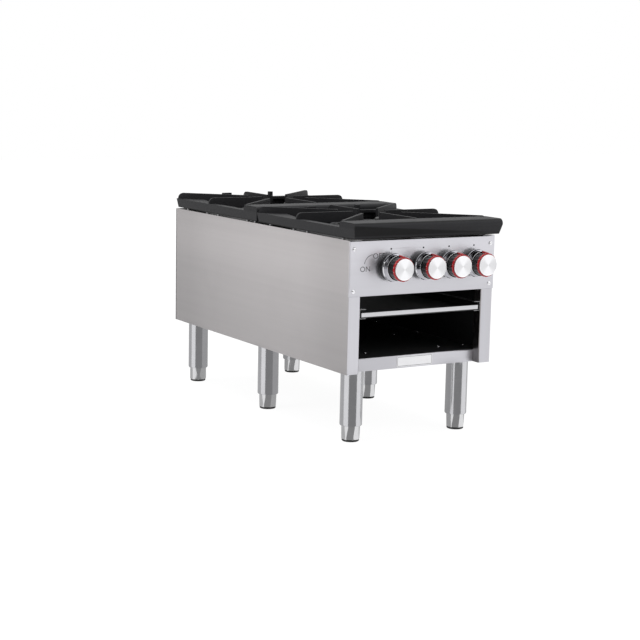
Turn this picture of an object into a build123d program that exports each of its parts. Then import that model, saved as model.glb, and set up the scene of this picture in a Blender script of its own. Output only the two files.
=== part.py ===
"""Double stock pot range: two burners one behind the other in a stainless cabinet on six legs.

Millimetres. X runs across the range, +Y from the controls to the wall, +Z up. The origin is on
the floor, under the middle of the range.
"""

from build123d import *
from math import atan2, cos, degrees, hypot, pi, sin, sqrt
import os

os.makedirs("parts", exist_ok=True)

# ---------------------------------------------------------------- cabinet
body_width = 457.2
body_depth = 1001.0
body_height = 345.0
leg_height = 190.8
knob_reach = 65.8
inlet_reach = 20.0

sheet = 1.5
bend = 2.5
slip = 0.2

half_width = body_width / 2
front_y = knob_reach - (knob_reach + body_depth + inlet_reach) / 2
back_y = front_y + body_depth
body_top = leg_height + body_height

post_width = 37.0
post_return = 30.0
post_inner = half_width - post_width
post_face_y = front_y + sheet
back_flange = 25.0
inside_back_y = back_y - sheet
skin_inner = half_width - sheet

panel_height = 144.8
panel_bottom = body_top - panel_height
panel_return = 25.0
panel_top_return = 40.0
back_top_return = 25.0

rail_height = 34.2
rail_setback = 28.0
rail_return = 40.0
rail_top = leg_height + rail_height
rail_face_y = front_y + rail_setback

# ---------------------------------------------------------------- floor, base rails and legs
floor_gauge = 1.2
floor_top = rail_top - sheet
floor_front_y = rail_face_y + sheet + bend
floor_back_y = inside_back_y - sheet - bend
floor_bottom = floor_top - floor_gauge
base_width = 128.6
base_inner_x = half_width - base_width
floor_screw_edge = 17.6
floor_screw_x = half_width - floor_screw_edge
floor_screw_inset = (9.0, 28.0)
floor_screw_columns = (
    -floor_screw_x,
    -base_inner_x - floor_screw_inset[0],
    base_inner_x + floor_screw_inset[1],
    floor_screw_x,
)
floor_screw_first = 101.0
floor_screw_last = 36.0
floor_screw_rows = 5
floor_screw_pitch = (body_depth - floor_screw_first - floor_screw_last) / (floor_screw_rows - 1)
floor_screw_r = 2.0
floor_screw_head_r = 4.0
floor_screw_head = 2.2
floor_screw_length = 8.0
floor_screw_chamfer = 0.7

base_gauge = 2.0
plate_drop = 0.2
leg_plate = 4.0
leg_plate_x = 84.0
leg_plate_y = 70.0
leg_plate_bottom = leg_height + plate_drop
leg_plate_top = leg_plate_bottom + leg_plate

leg_inset_x = 59.2
leg_inset_front = 68.0
leg_inset_back = 40.5
leg_x = half_width - leg_inset_x
leg_y_front = front_y + leg_inset_front
leg_y_back = back_y - leg_inset_back
leg_y_middle = (leg_y_front + leg_y_back) / 2
leg_tube_r = 29.75
leg_wall = 1.5
leg_tube_bottom = 42.0
leg_lip_round = 4.0
leg_bore_r = leg_tube_r - leg_wall
leg_sites = {
    "front_left": (-leg_x, leg_y_front),
    "front_right": (leg_x, leg_y_front),
    "middle_left": (-leg_x, leg_y_middle),
    "middle_right": (leg_x, leg_y_middle),
    "back_left": (-leg_x, leg_y_back),
    "back_right": (leg_x, leg_y_back),
}

foot_inset = 3.5
foot_r = leg_bore_r - foot_inset
pad_inset = 1.75
pad_r = foot_r - pad_inset
pad_height = 6.0
pad_spigot_r = 5.0
pad_spigot = 8.0
pad_edge = 1.0
turning_gap = 0.05
foot_flats = 20
foot_top = 70.0
foot_lip_gap = 0.35
foot_chamfer = 0.7
stud_r = 6.35
stud_top = 118.0
nut_bottom = 84.0
nut_height = 16.0

# ---------------------------------------------------------------- drip tray and runners
runner_gauge = 1.2
runner_flange = 19.5
runner_drop = 57.7
runner_bottom = panel_bottom - runner_drop
runner_height = 25.0
runner_front = 4.0
runner_web_outer = post_inner - slip
runner_web_x = runner_web_outer - runner_gauge / 2
runner_tip_x = runner_web_outer - runner_flange
tray_gauge = 1.2
tray_side_gap = 4.9
tray_half = runner_web_outer - runner_gauge - tray_side_gap
tray_height = 13.9
tray_setback = 5.0
tray_front_y = front_y + tray_setback
tray_back_gap = 45.0
tray_back_y = back_y - tray_back_gap
tray_bottom = runner_bottom + runner_gauge
tray_lip = 8.0
tray_nose_round = 2.4

# ---------------------------------------------------------------- controls and gas train
knob_drop = 71.3
knob_z = body_top - knob_drop
grip_r = 30.5
bezel_wall_gap = 1.0
bezel_rim = 1.5
bezel_flare = 4.0
bezel_face_r = grip_r + bezel_wall_gap + bezel_rim
bezel_r = bezel_face_r + bezel_flare
knob_first_x = -103.0
bezel_gaps = (27.0, 7.5, 7.0)
knob_x = [knob_first_x]
for bezel_gap in bezel_gaps:
    knob_x.append(knob_x[-1] + 2 * bezel_r + bezel_gap)
screw_inset = 13.6
screw_x = half_width - screw_inset
screw_below_top = 21.8
screw_above_bottom = 15.0
screw_z = (body_top - screw_below_top, panel_bottom + screw_above_bottom)
panel_screw_r = 2.4
screw_hole_gap = 0.2
panel_screw_head_r = 5.5
panel_screw_head = 3.0
panel_screw_length = 8.0
sight_hole_r = 1.9
sight_hole_rise = 9.5
sight_hole_z = knob_z + bezel_r + sight_hole_rise
panel_hole_r = 8.0

bezel_depth = 36.0
bezel_plate = 4.0
bezel_foot = 16.0
bezel_foot_inset = 2.5
bezel_foot_r = bezel_r - bezel_foot_inset
bezel_edge = 3.0
bezel_bore_r = 9.0
grip_gap = 1.0
grip_front = 57.0
pointer_ring_proud = 1.0
pointer_ring_r = grip_r + pointer_ring_proud
pointer_ring_depth = 4.5
pointer_ring_chamfer = 1.2
fin_rise = 5.0
fin_top_r = grip_r + fin_rise
fin_fall = 2.5
fin_width = 6.0
fin_gap = 2.0
fin_back = bezel_depth + fin_gap
fin_lap = 2.0
fin_round = 2.0
cap_inset = 3.5
cap_r = pointer_ring_r - cap_inset
cap_step = 3.0
cap_crown = 0.5
cap_fit = 0.05
stem_r = 4.0
stem_socket = 24.0
stem_inside = 40.0

pipe_r = 13.335
inlet_thread_r = 13.1
inlet_thread = 19.0
pipe_bore_r = 10.4
manifold_setback = 45.0
manifold_drop = 30.0
manifold_y = front_y + manifold_setback
manifold_z = knob_z - manifold_drop
manifold_lead = 25.0
manifold_left = knob_x[0] - manifold_lead
pipe_inset = 23.6
pipe_x = half_width - pipe_inset
pipe_corner = 26.0
pipe_hole_gap = 2.2
pipe_hole_r = pipe_r + pipe_hole_gap
boss_r = 10.0
boss_height = 5.0
end_cap_wall = 2.0
end_cap_length = 10.0

valve_nose_setback = 12.0
valve_nose_length = 8.0
valve_length = 38.0
outlet_length = 12.0
valve_nose_y = front_y + valve_nose_setback
valve_front_y = valve_nose_y + valve_nose_length
valve_back_y = valve_front_y + valve_length
outlet_end_y = valve_back_y + outlet_length
valve_nose_r = 7.4
valve_r = 11.0
shank_r = 7.0
shank_bore_r = 5.5
outlet_r = 6.0

hood_corner_r = 9.4
hood_length = 20.0
hood_nose = 10.0
hood_end_y = outlet_end_y + hood_nose
hood_front_y = hood_end_y - hood_length
orifice_r = 0.9

shutter_gap = 4.0
shutter_length = 20.0
shutter_gauge = 1.5
shutter_eye_r = 11.0
mouth_r = 20.0
mouth_length = 26.0
shutter_bore_r = mouth_r + turning_gap
shutter_r = shutter_bore_r + shutter_gauge
shutter_front_y = hood_end_y + shutter_gap
mouth_front_y = shutter_front_y + shutter_gauge

# ---------------------------------------------------------------- grates
grate_overhang = 28.4
grate_gap = 1.5
grate_back_gap = 9.3
grate_length = (body_depth + grate_overhang - grate_back_gap - grate_gap) / 2
grate_seat = 4.7
grate_bottom = body_top + grate_seat
grate_front_y = (front_y - grate_overhang, front_y - grate_overhang + grate_length + grate_gap)
burner_from_back = 213.9
burner_from_front = grate_length - burner_from_back
skirt = 7.0
flange_gauge = 8.0
rim_width = 22.0
rim_height = 26.5
rim_top = grate_bottom + rim_height
rim_half = half_width + 3.9
side_draft = 5.1
front_draft = 8.5
rear_draft = 3.0
nose_rise = 15.0
nose_top = rim_top + nose_rise
nose_depth = 75.4
nose_round = 11.0
nose_belly_round = 12.0
nose_draft = 1.5
nose_edge = 1.0
nose_foot_round = 3.0
nose_web = 4.0
rear_web = ((76.0, 0.0), (41.0, 36.0), (0.0, 173.0))
front_web = 34.0
finger_rise = 2.2
finger_top = nose_top + finger_rise
finger_depth = 28.0
finger_width = 7.0
side_finger_inset = 1.5
rear_finger_inset = 5.0
side_tip_r = 54.0
corner_tip_r = 88.0
corner_finger_inset = 4.2
nose_corner_lap = 9.6
side_corner_inset = 2.9
shoulder = 16.0
lug_x = 83.4
lug_width = 12.0
lug_drop = 1.2
lug_top = finger_top - lug_drop
lug_depth = 36.0
lug_thickness = 12.0
stop_x = -65.0
stop_width = 30.0
stop_rise = 14.0
stop_top = rim_top + stop_rise
stop_thickness = 9.0
stop_lap = 1.0
rest_r = 4.5
rest_inset = 5.6
rest_x = half_width - rest_inset
rest_from_front = (22.5, 68.5, 246.5, 317.5, 445.5)

# ---------------------------------------------------------------- burners
burner_y = tuple(y + burner_from_front for y in grate_front_y)
ring_drop = 27.8
ring_bottom = body_top - ring_drop
ring_height = 38.0
ring_width = 22.0
ring_wall = 4.0
inner_ring_r = 40.0
middle_ring_r = 96.0
outer_ring_r = 148.0
outer_rings = (middle_ring_r, outer_ring_r)
arm_width = 18.0
arm_height = 20.0
arm_lap = 2.0
arm_start = 45.0
arm_count = 4
tube_r = 17.0
tube_bore_r = 13.5
tube_corner = 24.0
riser_lap = 5.0
port_r = 1.8
outer_port_counts = (36, 48)
inner_port_count = 16

bar_gauge = 3.0
bar_drop = 22.0
front_bar_setback = 85.0
front_bar_width = 23.0
back_bar_setback = 18.0
back_bar_width = 20.0
bar_spans = (
    (-front_bar_setback, front_bar_width - front_bar_setback),
    (back_bar_setback, back_bar_setback + back_bar_width),
)
bar_half = skin_inner - slip

pilot_x = 58.0
pilot_offset_y = 44.0
pilot_rise = 16.0
pilot_top = ring_bottom + ring_height + pilot_rise
pilot_head_r = 9.0
pilot_head = 17.0
pilot_neck_r = 5.0
pilot_flare = 2.0
pilot_dome = 6.8
pilot_foot_drop = 8.0
pilot_foot_z = ring_bottom - pilot_foot_drop
pilot_tube_r = 3.175
pilot_corner = 15.0
pilot_straight = 0.5
pilot_lane_gap = (32.0, 40.5)
pilot_lane_x = (knob_x[1] + pilot_lane_gap[0], knob_x[2] + pilot_lane_gap[1])
pilot_valve_r = 6.5
pilot_valve_length = 31.0
pilot_valve_end_y = manifold_y + pilot_valve_length
pilot_tab = 3.0

member_width = 60.0
member_leg = 25.0
member_y = grate_front_y[1] - grate_gap / 2

plate_width = 113.0
plate_height = 28.0
plate_gauge = 1.0
plate_z = leg_height + rail_height / 2
plate_round = 1.5

dome_steps = 4


# ---------------------------------------------------------------- shared shapes
def fold(plane, points, length, gauge=sheet):
    """Draw one folded sheet out of the plane, from the middle line of its section."""
    with BuildSketch(plane) as section:
        with BuildLine():
            FilletPolyline(*points, radius=bend)
        trace(line_width=gauge)
    extrude(section.sketch, amount=length)


def block(low, high, mode=Mode.ADD):
    """Add or cut the box between two corners."""
    size = [b - a for a, b in zip(low, high)]
    middle = [(a + b) / 2 for a, b in zip(low, high)]
    with Locations(tuple(middle)):
        Box(*size, mode=mode)


def drill(points, radius, y_from, y_to, mode=Mode.SUBTRACT):
    """Cut or add round bars along Y, each centred on an (x, z) point."""
    with BuildSketch(Plane.XZ.offset(-y_to)) as circles:
        with Locations(*points):
            Circle(radius)
    extrude(circles.sketch, amount=y_to - y_from, mode=mode)


def stand(points, radius, z_from, z_to, mode=Mode.ADD):
    """Add or cut upright round bars, each centred on an (x, y) point."""
    with BuildSketch(Plane.XY.offset(z_from)) as circles:
        with Locations(*points):
            Circle(radius)
    extrude(circles.sketch, amount=z_to - z_from, mode=mode)


def turn_about_y(profile, x, z):
    """Turn an outline of (radius, distance in front of the panel) about a knob's axis."""
    with BuildSketch(Plane.XY.offset(z)) as outline:
        with BuildLine():
            Polyline(*[(x + r, front_y - d) for r, d in profile], close=True)
        make_face()
    revolve(outline.sketch, axis=Axis((x, 0, z), (0, 1, 0)))


def turn_upright(profile, x, y):
    """Turn an outline of (radius, height) about an upright axis."""
    with BuildSketch(Plane.XZ.offset(-y)) as outline:
        with BuildLine():
            Polyline(*[(x + r, z) for r, z in profile], close=True)
        make_face()
    revolve(outline.sketch, axis=Axis((x, y, 0), (0, 0, 1)))


def dome(radius, base, height):
    """The points of a quarter ellipse, from its crown down to its rim."""
    turns = [step * pi / 2 / dome_steps for step in range(dome_steps)]
    return [(radius * sin(turn), base + height * cos(turn)) for turn in turns] + [(radius, base)]


def pipe(points, radius, corner, mode=Mode.ADD):
    """Sweep a round bar along straight runs joined by arcs."""
    with BuildLine() as route:
        FilletPolyline(*points, radius=corner)
    start, after = Vector(*points[0]), Vector(*points[1])
    with BuildSketch(Plane(origin=start, z_dir=after - start)) as section:
        Circle(radius)
    sweep(section.sketch, path=route.line, mode=mode)


def save(builder, name):
    """Label a finished piece and write it as its own file."""
    builder.part.label = name
    export_step(builder.part, f"parts/{name}.step")


# ---------------------------------------------------------------- cabinet shell
side_top = body_top - sheet
flange_y = inside_back_y - sheet / 2

with BuildPart() as side_panel_right:
    fold(
        Plane.XY.offset(leg_height),
        [
            (post_inner + sheet / 2, front_y + post_return),
            (post_inner + sheet / 2, post_face_y + sheet / 2),
            (half_width - sheet / 2, post_face_y + sheet / 2),
            (half_width - sheet / 2, flange_y),
            (half_width - back_flange, flange_y),
        ],
        side_top - leg_height,
    )
    block((post_inner, post_face_y, side_top), (half_width, inside_back_y, body_top))
    drill(
        [(screw_x, z) for z in screw_z],
        panel_screw_r + screw_hole_gap,
        front_y,
        front_y + panel_screw_length,
    )
    drill([(pipe_x, manifold_z)], pipe_hole_r, flange_y - sheet, back_y)
save(side_panel_right, "side_panel_right")

with BuildPart() as side_panel_left:
    mirror(side_panel_right.part, about=Plane.YZ)
save(side_panel_left, "side_panel_left")

with BuildPart() as control_panel:
    fold(
        Plane.YZ.offset(-half_width),
        [
            (front_y + panel_top_return, body_top - sheet / 2),
            (front_y + sheet / 2, body_top - sheet / 2),
            (front_y + sheet / 2, panel_bottom + sheet / 2),
            (front_y + panel_return, panel_bottom + sheet / 2),
        ],
        body_width,
    )
    for side in (-1, 1):
        ends = sorted((side * (post_inner - slip), side * half_width))
        block(
            (ends[0], post_face_y, panel_bottom),
            (ends[1], front_y + panel_top_return, body_top),
            Mode.SUBTRACT,
        )
    screw_points = [(side * screw_x, z) for side in (-1, 1) for z in screw_z]
    drill(screw_points, panel_screw_r + screw_hole_gap, front_y, post_face_y)
    drill([(x, knob_z) for x in knob_x], panel_hole_r, front_y, post_face_y)
    drill([(x, sight_hole_z) for x in knob_x], sight_hole_r, front_y, post_face_y)
save(control_panel, "control_panel")

with BuildPart() as panel_screws:
    for x, z in screw_points:
        turn_about_y(
            dome(panel_screw_head_r, 0, panel_screw_head)
            + [
                (panel_screw_r, 0),
                (panel_screw_r, -panel_screw_length),
                (0, -panel_screw_length),
            ],
            x,
            z,
        )
save(panel_screws, "panel_screws")

with BuildPart() as back_panel:
    fold(
        Plane.YZ.offset(-half_width),
        [
            (back_y - back_top_return, body_top - sheet / 2),
            (back_y - sheet / 2, body_top - sheet / 2),
            (back_y - sheet / 2, leg_height),
        ],
        body_width,
    )
    for side in (-1, 1):
        ends = sorted((side * (post_inner - slip), side * half_width))
        block(
            (ends[0], back_y - back_top_return, leg_height),
            (ends[1], inside_back_y, body_top),
            Mode.SUBTRACT,
        )
    drill([(pipe_x, manifold_z)], pipe_hole_r, inside_back_y, back_y)
save(back_panel, "back_panel")

with BuildPart() as top_cross_member:
    fold(
        Plane.YZ.offset(slip - post_inner),
        [
            (member_y - member_width / 2, body_top - member_leg),
            (member_y - member_width / 2, body_top - sheet / 2),
            (member_y + member_width / 2, body_top - sheet / 2),
            (member_y + member_width / 2, body_top - member_leg),
        ],
        2 * (post_inner - slip),
    )
save(top_cross_member, "top_cross_member")

with BuildPart() as front_bottom_rail:
    fold(
        Plane.YZ.offset(slip - post_inner),
        [
            (rail_face_y + rail_return, rail_top - sheet / 2),
            (rail_face_y + sheet / 2, rail_top - sheet / 2),
            (rail_face_y + sheet / 2, leg_height),
        ],
        2 * (post_inner - slip),
    )
save(front_bottom_rail, "front_bottom_rail")

with BuildPart() as name_plate:
    with BuildSketch(Plane.XZ.offset(-rail_face_y)):
        with Locations((0, plate_z)):
            RectangleRounded(plate_width, plate_height, plate_round)
    extrude(amount=plate_gauge)
save(name_plate, "name_plate")

# ---------------------------------------------------------------- floor and base rails
floor_screw_y = [
    front_y + floor_screw_first + row * floor_screw_pitch for row in range(floor_screw_rows)
]
floor_screw_sites = [(x, y) for x in floor_screw_columns for y in floor_screw_y]

with BuildPart() as cabinet_floor:
    block(
        (slip - skin_inner, floor_front_y, floor_bottom),
        (skin_inner - slip, floor_back_y, floor_top),
    )
    stand(floor_screw_sites, floor_screw_r, floor_bottom, floor_top, Mode.SUBTRACT)
save(cabinet_floor, "cabinet_floor")

base_top = floor_bottom - base_gauge / 2
base_low = leg_plate_top + base_gauge / 2
base_outer_x = skin_inner - slip - base_gauge / 2
with BuildPart() as base_rails:
    for side in (-1, 1):
        fold(
            Plane.XZ.offset(-floor_back_y),
            [
                (side * base_inner_x, base_top),
                (side * base_outer_x, base_top),
                (side * base_outer_x, base_low),
                (side * base_inner_x, base_low),
            ],
            floor_back_y - floor_front_y,
            base_gauge,
        )
    stand(floor_screw_sites, floor_screw_r, floor_bottom - base_gauge, floor_bottom, Mode.SUBTRACT)
save(base_rails, "base_rails")

with BuildPart() as floor_screws:
    stand(floor_screw_sites, floor_screw_head_r, floor_top, floor_top + floor_screw_head)
    chamfer(floor_screws.faces().group_by(Axis.Z)[-1].edges(), floor_screw_chamfer)
    stand(floor_screw_sites, floor_screw_r, floor_top - floor_screw_length, floor_top)
save(floor_screws, "floor_screws")

# ---------------------------------------------------------------- legs and feet
leg_points = list(leg_sites.values())

with BuildPart() as leg_plates:
    with Locations(*[(x, y, leg_plate_bottom + leg_plate / 2) for x, y in leg_points]):
        Box(leg_plate_x, leg_plate_y, leg_plate)
save(leg_plates, "leg_plates")

lip_r = foot_r + foot_lip_gap
with BuildPart() as leg_tubes:
    for x, y in leg_points:
        with BuildSketch(Plane.XZ.offset(-y)) as tube_wall:
            with BuildLine():
                Polyline(
                    (x + leg_bore_r, leg_plate_bottom),
                    (x + leg_tube_r, leg_plate_bottom),
                    (x + leg_tube_r, leg_tube_bottom + leg_lip_round),
                )
                RadiusArc(
                    (x + leg_tube_r, leg_tube_bottom + leg_lip_round),
                    (x + leg_tube_r - leg_lip_round, leg_tube_bottom),
                    leg_lip_round,
                )
                Polyline(
                    (x + leg_tube_r - leg_lip_round, leg_tube_bottom),
                    (x + lip_r, leg_tube_bottom),
                    (x + lip_r, leg_tube_bottom + leg_wall),
                    (x + leg_bore_r - leg_wall, leg_tube_bottom + leg_wall),
                    (x + leg_bore_r, leg_tube_bottom + leg_lip_round),
                    (x + leg_bore_r, leg_plate_bottom),
                )
            make_face()
        revolve(tube_wall.sketch, axis=Axis((x, y, 0), (0, 0, 1)))
save(leg_tubes, "leg_tubes")

with BuildPart() as leg_nuts:
    stand(leg_points, leg_bore_r - turning_gap, nut_bottom, nut_bottom + nut_height)
    stand(leg_points, stud_r + turning_gap, nut_bottom, nut_bottom + nut_height, Mode.SUBTRACT)
save(leg_nuts, "leg_nuts")

for site, (x, y) in leg_sites.items():
    with BuildPart() as foot_pad:
        turn_upright(
            [
                (0, 0),
                (pad_r - pad_edge, 0),
                (pad_r, pad_edge),
                (pad_r, pad_height),
                (pad_spigot_r, pad_height),
                (pad_spigot_r, pad_height + pad_spigot),
                (0, pad_height + pad_spigot),
            ],
            x,
            y,
        )
    save(foot_pad, f"foot_pad_{site}")

    with BuildPart() as foot_insert:
        with BuildSketch(Plane.XY.offset(pad_height)):
            with Locations((x, y)):
                RegularPolygon(foot_r, foot_flats)
        extrude(amount=foot_top - pad_height)
        chamfer(foot_insert.faces().sort_by(Axis.Z)[-1].edges(), foot_chamfer)
        stand([(x, y)], stud_r, foot_top, stud_top)
        stand(
            [(x, y)],
            pad_spigot_r + turning_gap,
            pad_height,
            pad_height + pad_spigot + turning_gap,
            Mode.SUBTRACT,
        )
    save(foot_insert, f"foot_insert_{site}")

# ---------------------------------------------------------------- drip tray and its runners
with BuildPart() as tray_runners:
    for side in (-1, 1):
        fold(
            Plane.XZ.offset(slip - inside_back_y),
            [
                (side * runner_tip_x, runner_bottom + runner_height - runner_gauge / 2),
                (side * runner_web_x, runner_bottom + runner_height - runner_gauge / 2),
                (side * runner_web_x, runner_bottom + runner_gauge / 2),
                (side * runner_tip_x, runner_bottom + runner_gauge / 2),
            ],
            inside_back_y - slip - front_y - runner_front,
            runner_gauge,
        )
save(tray_runners, "tray_runners")

with BuildPart() as drip_tray:
    block((-tray_half, tray_front_y, tray_bottom), (tray_half, tray_back_y, tray_bottom + tray_height))
    fillet(drip_tray.edges().filter_by(Axis.X).sort_by(Axis.Y)[:2].sort_by(Axis.Z)[0], tray_nose_round)
    block(
        (tray_gauge - tray_half, tray_front_y + tray_gauge, tray_bottom + tray_gauge),
        (tray_half - tray_gauge, tray_back_y - tray_gauge, tray_bottom + tray_height),
        Mode.SUBTRACT,
    )
    block(
        (tray_gauge - tray_half, tray_front_y + tray_gauge, tray_bottom + tray_height - tray_gauge),
        (tray_half - tray_gauge, tray_front_y + tray_gauge + tray_lip, tray_bottom + tray_height),
    )
save(drip_tray, "drip_tray")

# ---------------------------------------------------------------- knobs
with BuildPart() as knob_bezels:
    for x in knob_x:
        turn_about_y(
            [
                (bezel_bore_r, 0),
                (bezel_foot_r, 0),
                (bezel_foot_r, bezel_foot),
                (bezel_r, bezel_foot),
                (bezel_r, bezel_foot + bezel_edge),
                (bezel_face_r, bezel_depth),
                (grip_r + bezel_wall_gap, bezel_depth),
                (grip_r + bezel_wall_gap, bezel_plate),
                (bezel_bore_r, bezel_plate),
            ],
            x,
            knob_z,
        )
save(knob_bezels, "knob_bezels")

ring_front = grip_front + pointer_ring_depth
socket_end_y = front_y - bezel_plate - grip_gap - stem_socket
for number, x in enumerate(knob_x, start=1):
    with BuildPart() as knob_grip:
        turn_about_y(
            [
                (0, bezel_plate + grip_gap),
                (grip_r, bezel_plate + grip_gap),
                (grip_r, grip_front),
                (0, grip_front),
            ],
            x,
            knob_z,
        )
        drill([(x, knob_z)], stem_r, socket_end_y, front_y)
    save(knob_grip, f"knob_grip_{number}")

    with BuildPart() as knob_pointer:
        turn_about_y(
            [
                (cap_r + cap_fit, grip_front),
                (pointer_ring_r, grip_front),
                (pointer_ring_r, ring_front - pointer_ring_chamfer),
                (pointer_ring_r - pointer_ring_chamfer, ring_front),
                (cap_r + cap_fit, ring_front),
            ],
            x,
            knob_z,
        )
        fin_side = [
            (front_y - fin_back, knob_z + grip_r - fin_lap),
            (front_y - ring_front, knob_z + grip_r - fin_lap),
            (front_y - ring_front, knob_z + fin_top_r - fin_fall),
            (front_y - fin_back, knob_z + fin_top_r),
        ]
        with BuildSketch(Plane.YZ.offset(x)):
            Polygon(*fin_side, align=None)
        extrude(amount=fin_width / 2, both=True)
        drill([(x, knob_z)], grip_r, front_y - grip_front, front_y)
        drill([(x, knob_z)], cap_r + cap_fit, front_y - knob_reach, front_y - grip_front)
        fin_ends = knob_pointer.edges().filter_by(Axis.X).group_by(Axis.Z)[-1]
        fillet(fin_ends, fin_round)
    save(knob_pointer, f"knob_pointer_{number}")

    with BuildPart() as knob_cap:
        turn_about_y(
            [
                (0, grip_front),
                (cap_r, grip_front),
                (cap_r, knob_reach - cap_step),
                (cap_r - cap_step, knob_reach - cap_crown),
                (0, knob_reach),
            ],
            x,
            knob_z,
        )
    save(knob_cap, f"knob_cap_{number}")

    with BuildPart() as valve_stem:
        drill([(x, knob_z)], stem_r, socket_end_y, front_y + stem_inside, Mode.ADD)
    save(valve_stem, f"valve_stem_{number}")

# ---------------------------------------------------------------- gas train
inlet_end_y = back_y + inlet_reach
thread_y = inlet_end_y - inlet_thread
manifold_route = [
    (manifold_left, manifold_y, manifold_z),
    (pipe_x, manifold_y, manifold_z),
    (pipe_x, thread_y, manifold_z),
]
boss_top = manifold_z + pipe_r + boss_height

with BuildPart() as gas_manifold:
    pipe(manifold_route, pipe_r, pipe_corner)
    stand([(x, manifold_y) for x in knob_x], boss_r, manifold_z, boss_top)
    drill([(pipe_x, manifold_z)], inlet_thread_r, thread_y, inlet_end_y, Mode.ADD)
    pipe(manifold_route, pipe_bore_r, pipe_corner, Mode.SUBTRACT)
    drill([(pipe_x, manifold_z)], pipe_bore_r, thread_y, inlet_end_y)
    with BuildSketch(Plane.YZ.offset(manifold_left)):
        with Locations((manifold_y, manifold_z)):
            Circle(pipe_r + end_cap_wall)
    extrude(amount=-end_cap_length)
    stand(
        [(x, manifold_y) for x in knob_x],
        shank_bore_r,
        manifold_z,
        boss_top,
        Mode.SUBTRACT,
    )
save(gas_manifold, "gas_manifold")

with BuildPart() as gas_valves:
    for x in knob_x:
        spot = [(x, knob_z)]
        drill(spot, valve_r, valve_front_y, valve_back_y, Mode.ADD)
        drill(spot, valve_nose_r, valve_nose_y, valve_front_y, Mode.ADD)
        drill(spot, outlet_r, valve_back_y, outlet_end_y, Mode.ADD)
        stand([(x, manifold_y)], shank_r, boss_top, knob_z)
        drill(spot, stem_r + turning_gap, valve_nose_y, front_y + stem_inside + turning_gap)
save(gas_valves, "gas_valves")

with BuildPart() as orifice_hoods:
    for x in knob_x:
        with BuildSketch(Plane.XZ.offset(-hood_end_y)) as hexagon:
            with Locations((x, knob_z)):
                RegularPolygon(hood_corner_r, 6)
        extrude(hexagon.sketch, amount=hood_end_y - hood_front_y)
    drill([(x, knob_z) for x in knob_x], outlet_r, hood_front_y, outlet_end_y)
    drill([(x, knob_z) for x in knob_x], orifice_r, outlet_end_y, hood_end_y)
save(orifice_hoods, "orifice_hoods")

with BuildPart() as air_shutters:
    spots = [(x, knob_z) for x in knob_x]
    drill(spots, shutter_r, shutter_front_y, shutter_front_y + shutter_length, Mode.ADD)
    drill(spots, shutter_bore_r, mouth_front_y, shutter_front_y + shutter_length)
    drill(spots, shutter_eye_r, shutter_front_y, mouth_front_y)
save(air_shutters, "air_shutters")


# ---------------------------------------------------------------- burners
def riser_site(x, radius, centre_y):
    """The front point of a ring that lies straight behind a knob."""
    return x, centre_y - sqrt(radius**2 - x**2)


def feed(x, corners):
    """The route of a mixing tube from its mouth behind a valve to the underside of a ring."""
    return [(x, mouth_front_y, knob_z)] + corners + [(*corners[-1][:2], ring_bottom + riser_lap)]


def ring_section(radius, wall, centre_y, mode):
    """A flat-sided ring inside the height of a burner, less a wall on every side."""
    half = ring_width / 2 - wall
    with BuildSketch(Plane.XY.offset(ring_bottom + wall)) as ring:
        with Locations((0, centre_y)):
            Circle(radius + half)
            Circle(radius - half, mode=Mode.SUBTRACT)
    extrude(ring.sketch, amount=ring_height - 2 * wall, mode=mode)


def burner(rings, port_counts, route, centre_y, arms):
    """One hollow casting: its rings, the arms between them, its mixing tube and its ports."""
    for radius in rings:
        ring_section(radius, 0, centre_y, Mode.ADD)
    if arms:
        with BuildSketch(Plane.XY.offset(ring_bottom + ring_wall)) as spokes:
            with Locations((0, centre_y)):
                with PolarLocations((rings[0] + rings[1]) / 2, arms, arm_start):
                    Rectangle(rings[1] - rings[0] - ring_width + 2 * arm_lap, arm_width)
        extrude(spokes.sketch, amount=arm_height)
    pipe(route, tube_r, tube_corner)
    drill([(route[0][0], knob_z)], mouth_r, mouth_front_y, mouth_front_y + mouth_length, Mode.ADD)
    for radius in rings:
        ring_section(radius, ring_wall, centre_y, Mode.SUBTRACT)
    pipe(route, tube_bore_r, tube_corner, Mode.SUBTRACT)
    for radius, count in zip(rings, port_counts):
        with BuildSketch(Plane.XY.offset(ring_bottom + ring_height - 2 * ring_wall)) as holes:
            with Locations((0, centre_y)):
                with PolarLocations(radius, count):
                    Circle(port_r)
        extrude(holes.sketch, amount=2 * ring_wall, mode=Mode.SUBTRACT)


front_centre, rear_centre = burner_y

with BuildPart() as front_outer_burner:
    x, y = riser_site(knob_x[0], outer_ring_r, front_centre)
    burner(outer_rings, outer_port_counts, feed(x, [(x, y, knob_z)]), front_centre, arm_count)
save(front_outer_burner, "front_outer_burner")

with BuildPart() as front_inner_burner:
    x, y = riser_site(knob_x[1], inner_ring_r, front_centre)
    burner((inner_ring_r,), (inner_port_count,), feed(x, [(x, y, knob_z)]), front_centre, 0)
save(front_inner_burner, "front_inner_burner")

with BuildPart() as rear_outer_burner:
    x, y = riser_site(knob_x[2], outer_ring_r, rear_centre)
    burner(outer_rings, outer_port_counts, feed(x, [(x, y, knob_z)]), rear_centre, arm_count)
save(rear_outer_burner, "rear_outer_burner")

with BuildPart() as rear_inner_burner:
    x = knob_x[3]
    turns = [(x, rear_centre, knob_z), (inner_ring_r, rear_centre, knob_z)]
    burner((inner_ring_r,), (inner_port_count,), feed(x, turns), rear_centre, 0)
save(rear_inner_burner, "rear_inner_burner")

with BuildPart() as burner_bars:
    for centre in burner_y:
        for near, far in bar_spans:
            low_y, high_y = centre + near, centre + far
            web_y = (low_y, low_y + bar_gauge) if near < 0 else (high_y - bar_gauge, high_y)
            block((-bar_half, low_y, ring_bottom - bar_gauge), (bar_half, high_y, ring_bottom))
            block((-bar_half, web_y[0], ring_bottom - bar_drop), (bar_half, web_y[1], ring_bottom))
save(burner_bars, "burner_bars")

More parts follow.
